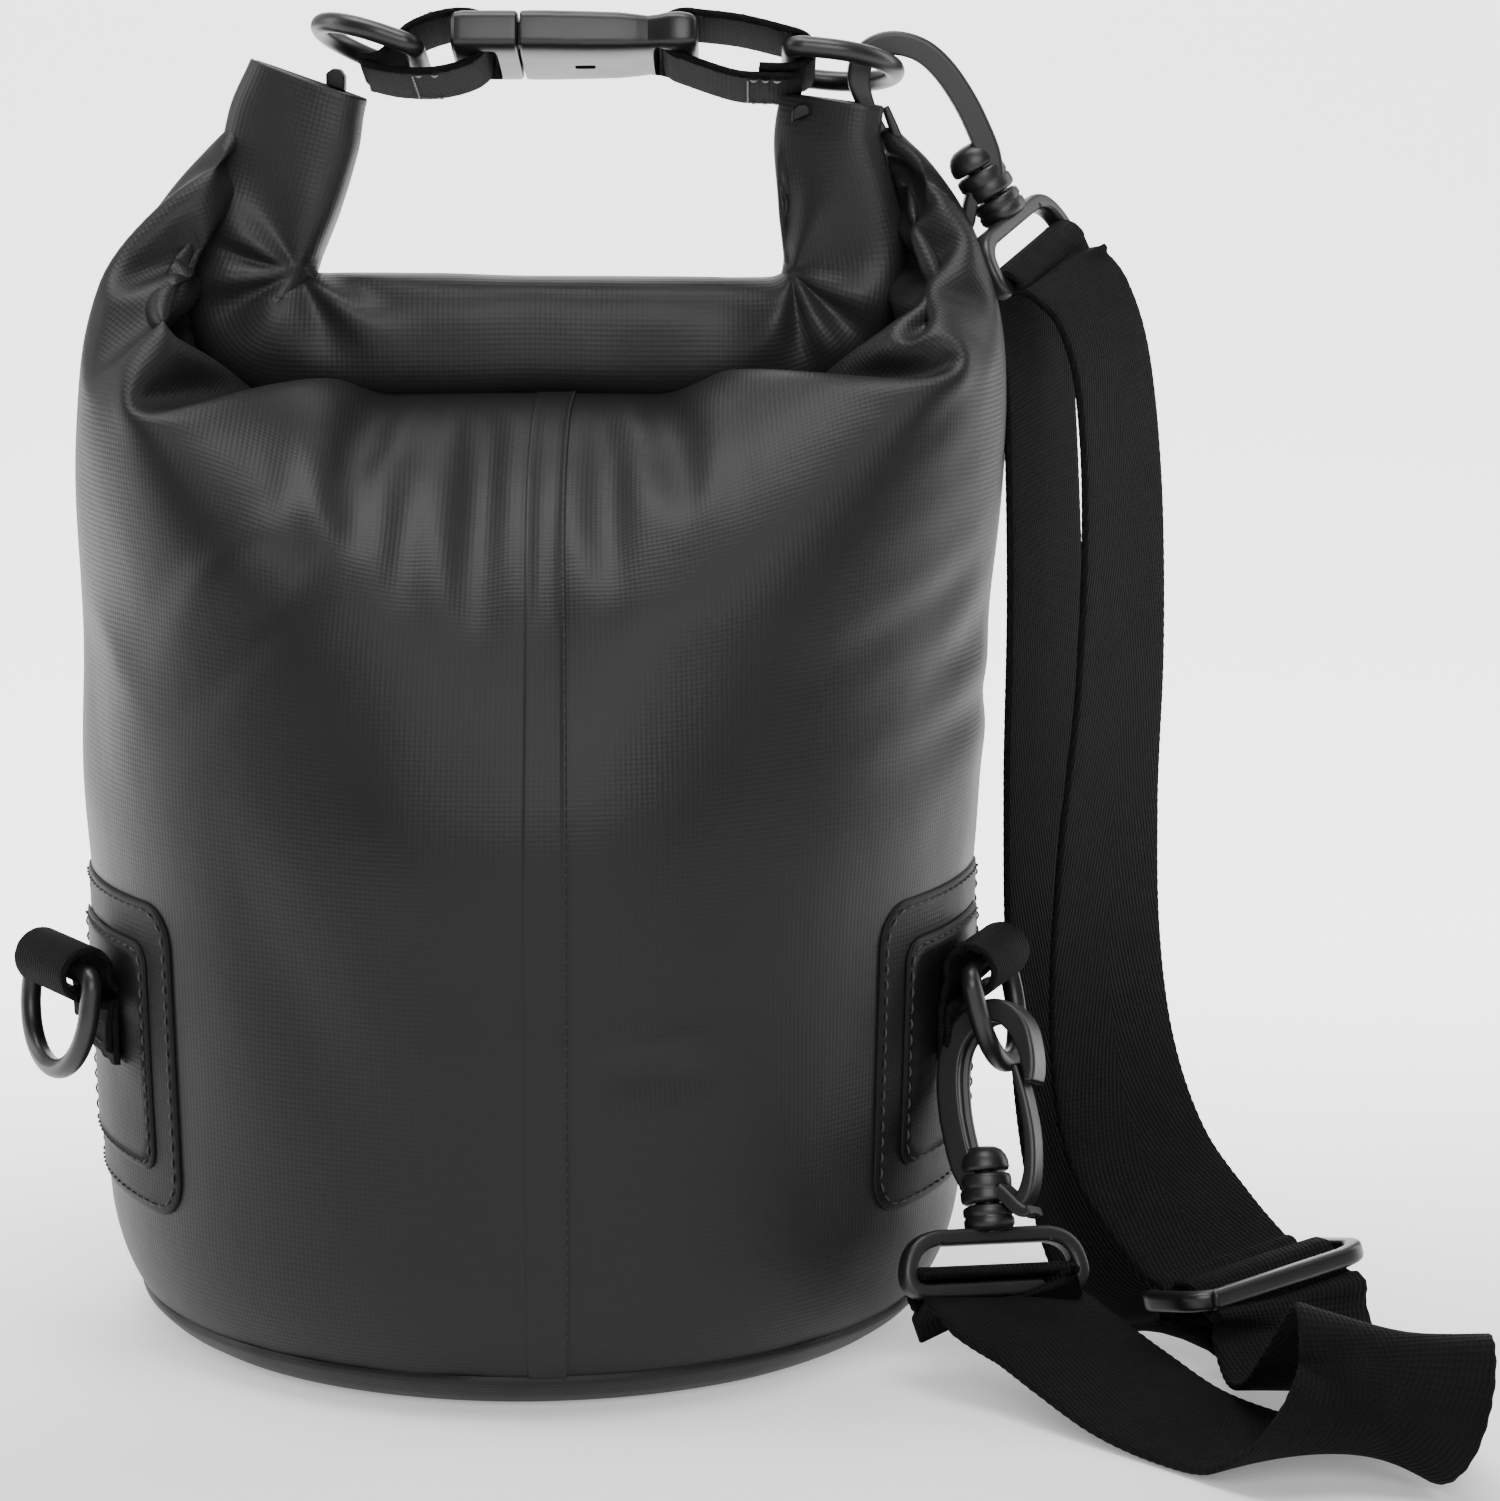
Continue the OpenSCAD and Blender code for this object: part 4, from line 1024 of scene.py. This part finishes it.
def loft(rows, power=5.0, n=56, order=(0, 1, 2)):
    """Closed solid from (position, half width, half thickness) rows of rounded-box sections along the first axis."""
    q = np.linspace(0, 2 * np.pi, n, endpoint=False)
    c, t = np.cos(q), np.sin(q)
    verts = []
    for x, w, h in rows:
        ring = np.stack([np.full(n, x), w * np.sign(c) * np.abs(c) ** (2 / power),
            h * np.sign(t) * np.abs(t) ** (2 / power)], 1)
        verts.append(ring[:, list(order)])
    verts = np.concatenate(verts)
    return verts, quads(len(rows), n) + caps(len(rows), n)


def block(rows, cuts, name):
    """A solid with pockets taken out of it, in the handle's own frame."""
    verts, faces = loft(rows)
    o = make(name, verts, faces)
    for k, (cv, cf) in enumerate(cuts):
        tool = make(f"{name}_pocket_{k}", cv, cf)
        b = o.modifiers.new("pocket", "BOOLEAN")
        b.object = tool
        b.operation = "DIFFERENCE"
        b.solver = "EXACT"
        bpy.context.view_layer.update()
        done = bpy.data.meshes.new_from_object(o.evaluated_get(bpy.context.evaluated_depsgraph_get()))
        o.modifiers.clear()
        o.data = done
        bpy.data.objects.remove(tool)
    v = np.array([tuple(x.co) for x in o.data.vertices]) / MM
    f = [tuple(poly.vertices) for poly in o.data.polygons]
    bpy.data.objects.remove(o)
    return v, f


MALE = [(-15.7, 14.6, 3.2), (-15.5, 15.4, 3.9), (-14.8, 16.1, 4.5), (-13.2, 16.5, 4.75), (-8, 16.5, 4.8),
    (-3, 16.5, 4.8), (-1.9, 16.4, 4.75), (-1.5, 16.0, 4.4)]
FEMALE = [(-0.9, 16.2, 4.4), (-0.5, 16.6, 4.75), (1, 16.7, 4.8), (5, 16.7, 4.8), (8, 16.3, 4.8), (14, 15.9, 4.75),
    (20, 15.6, 4.6), (24, 14.8, 4.3), (26.2, 14.2, 4.1), (28.4, 14.9, 4.2), (30.5, 16.0, 4.5), (33, 16.4, 4.6),
    (35.2, 16.1, 4.3), (36.4, 15.3, 3.7), (36.8, 14.6, 3.1)]
SLOT_M = loft([(z, 2.5, 13.2) for z in (-9, 9)], 6, 40, (1, 2, 0))
SLOT_F = loft([(z, 2.3, 13.2) for z in (-9, 9)], 6, 40, (1, 2, 0))
WINDOW = loft([(-20, 7.9, 3.3), (-11.0, 7.9, 3.3)], 5, 48, (1, 0, 2))
HOLE = loft([(-9, 2.2, 1.6), (0, 2.2, 1.6)], 6, 32, (1, 2, 0))
male = block(MALE, [(SLOT_M[0] + [-8.3, 0, 0], SLOT_M[1])], "male")
tongue = loft([(-1.7, 3, 1.6), (17.4, 3, 1.6)], 6, 24)
moulded("buckle_male_half", [male, tongue], "buckle_male", on_handle, 0.3)
cuts = [(SLOT_F[0] + [29.6, 0, 0], SLOT_F[1]), (WINDOW[0] + [15.9, 0, 0], WINDOW[1]),
    ((WINDOW[0] + [15.9, 0, 0]) * [1, -1, 1], [f[::-1] for f in WINDOW[1]]), (HOLE[0] + [12.5, 0, 0], HOLE[1])]
moulded("buckle_female_half", [block(FEMALE, cuts, "female")], "buckle_female", on_handle, 0.3)

# ---- the other moulded parts keep their CAD shape and get softened edges ----

for part in frame["record"]["subparts"]:
    o = frame["nodes"][part["node"]]
    if o.hide_render:
        continue
    o.data.materials.clear()
    o.data.materials.append(LOOK[part["material_slot"]])
    add(o, "WELD", "joined", merge_threshold=0.00001)
    if part["material_slot"] != "ring_plastic":
        add(o, "BEVEL", "moulded_edges", width=0.00055, segments=3, limit_method="ANGLE", angle_limit=np.radians(28),
            harden_normals=True)
    o.data.polygons.foreach_set("use_smooth", [True] * len(o.data.polygons))
    add(o, "WEIGHTED_NORMAL", "even_shading", keep_sharp=True)

# ---- stage ----


def ease(tree, value, *limits):
    """Value eased from one range (first two limits) to another (last two)."""
    n = tree.nodes.new("ShaderNodeMapRange")
    n.interpolation_type = "SMOOTHSTEP"
    for socket, limit in zip(("From Min", "From Max", "To Min", "To Max"), limits):
        n.inputs[socket].default_value = limit
    tree.links.new(value, n.inputs["Value"])
    return n.outputs[0]


profile = [(-3.0, 0.0), (1.6, 0.0)] + [(1.6 + 1.2 * np.sin(q), 1.2 - 1.2 * np.cos(q))
    for q in np.radians(range(6, 91, 6))] + [(2.8, 5.0)]
sweep = [(x * 1000, y * 1000, z * 1000) for y, z in profile for x in (-5, 5)]
floor = make("floor", sweep, [(2 * i, 2 * i + 1, 2 * i + 3, 2 * i + 2) for i in range(len(profile) - 1)])
floor_look = Nodes("floor_paint")
floor_look.to("Base Color", (0.9, 0.9, 0.9, 1))
floor_look.to("Roughness", 0.9)
floor_look.to("Specular IOR Level", 0.1)
floor_look.to("Emission Color", (1, 1, 1, 1))
# the sweep glows behind the bag and stays plain in front of it
there = floor_look.node("ShaderNodeNewGeometry")
parts = floor_look.node("ShaderNodeSeparateXYZ")
floor_look.link(there.outputs["Position"], parts.inputs[0])
glow = ease(floor_look.tree, parts.outputs[1], -0.20, 0.40, 0.08, 2.4)
# and it fades out to either side
sides = ease(floor_look.tree, floor_look.math("ABSOLUTE", parts.outputs[0]), 0.72, 1.3, 1.0, 0.15)
floor_look.to("Emission Strength", floor_look.math("MULTIPLY", glow, sides))
floor.data.materials.append(floor_look.mat)

scene = bpy.context.scene
world = bpy.data.worlds.new("studio")
world.use_nodes = True
sky = world.node_tree
coords = sky.nodes.new("ShaderNodeTexCoord")
split = sky.nodes.new("ShaderNodeSeparateXYZ")
sky.links.new(coords.outputs["Generated"], split.inputs[0])
# the room behind the camera is dim, so that faces turned to it stay dark
sky.links.new(ease(sky, split.outputs[1], -0.5, 0.75, 0.09, 1.5), sky.nodes["Background"].inputs["Strength"])
sky.nodes["Background"].inputs["Color"].default_value = (1, 1, 1, 1)
scene.world = world


def softbox(name, at, aim, size, power):
    d = bpy.data.lights.new(name, "AREA")
    d.shape = "RECTANGLE"
    d.size, d.size_y = size
    d.energy = power
    o = bpy.data.objects.new(name, d)
    o.location = Vector(at)
    o.rotation_euler = (Vector(aim) - Vector(at)).to_track_quat("-Z", "Y").to_euler()
    scene.collection.objects.link(o)


softbox("key_top", (-0.10, -0.15, 1.6), (0, 0, 0.2), (1.4, 0.6), 24)
softbox("fill_front", (0.2, -1.5, 0.9), (0, 0, 0.2), (1.2, 0.9), 20)
softbox("side_left", (-1.25, 0.1, 0.55), (0, 0, 0.15), (0.4, 1.1), 6)
softbox("side_right", (1.25, 0.45, 0.6), (0.05, 0, 0.15), (0.4, 1.1), 6)

CAM_AIM = Vector((0.048, 0.0, 0.124))
CAM_DISTANCE = 0.95
CAM_PITCH = np.radians(10.0)
cam_data = bpy.data.cameras.new("camera")
cam_data.lens = 102.6
cam_data.sensor_width = 36
cam = bpy.data.objects.new("camera", cam_data)
cam.location = CAM_AIM + Vector((0, -np.cos(CAM_PITCH) * CAM_DISTANCE, np.sin(CAM_PITCH) * CAM_DISTANCE))
cam.rotation_euler = (CAM_AIM - cam.location).to_track_quat("-Z", "Y").to_euler()
scene.collection.objects.link(cam)
scene.camera = cam
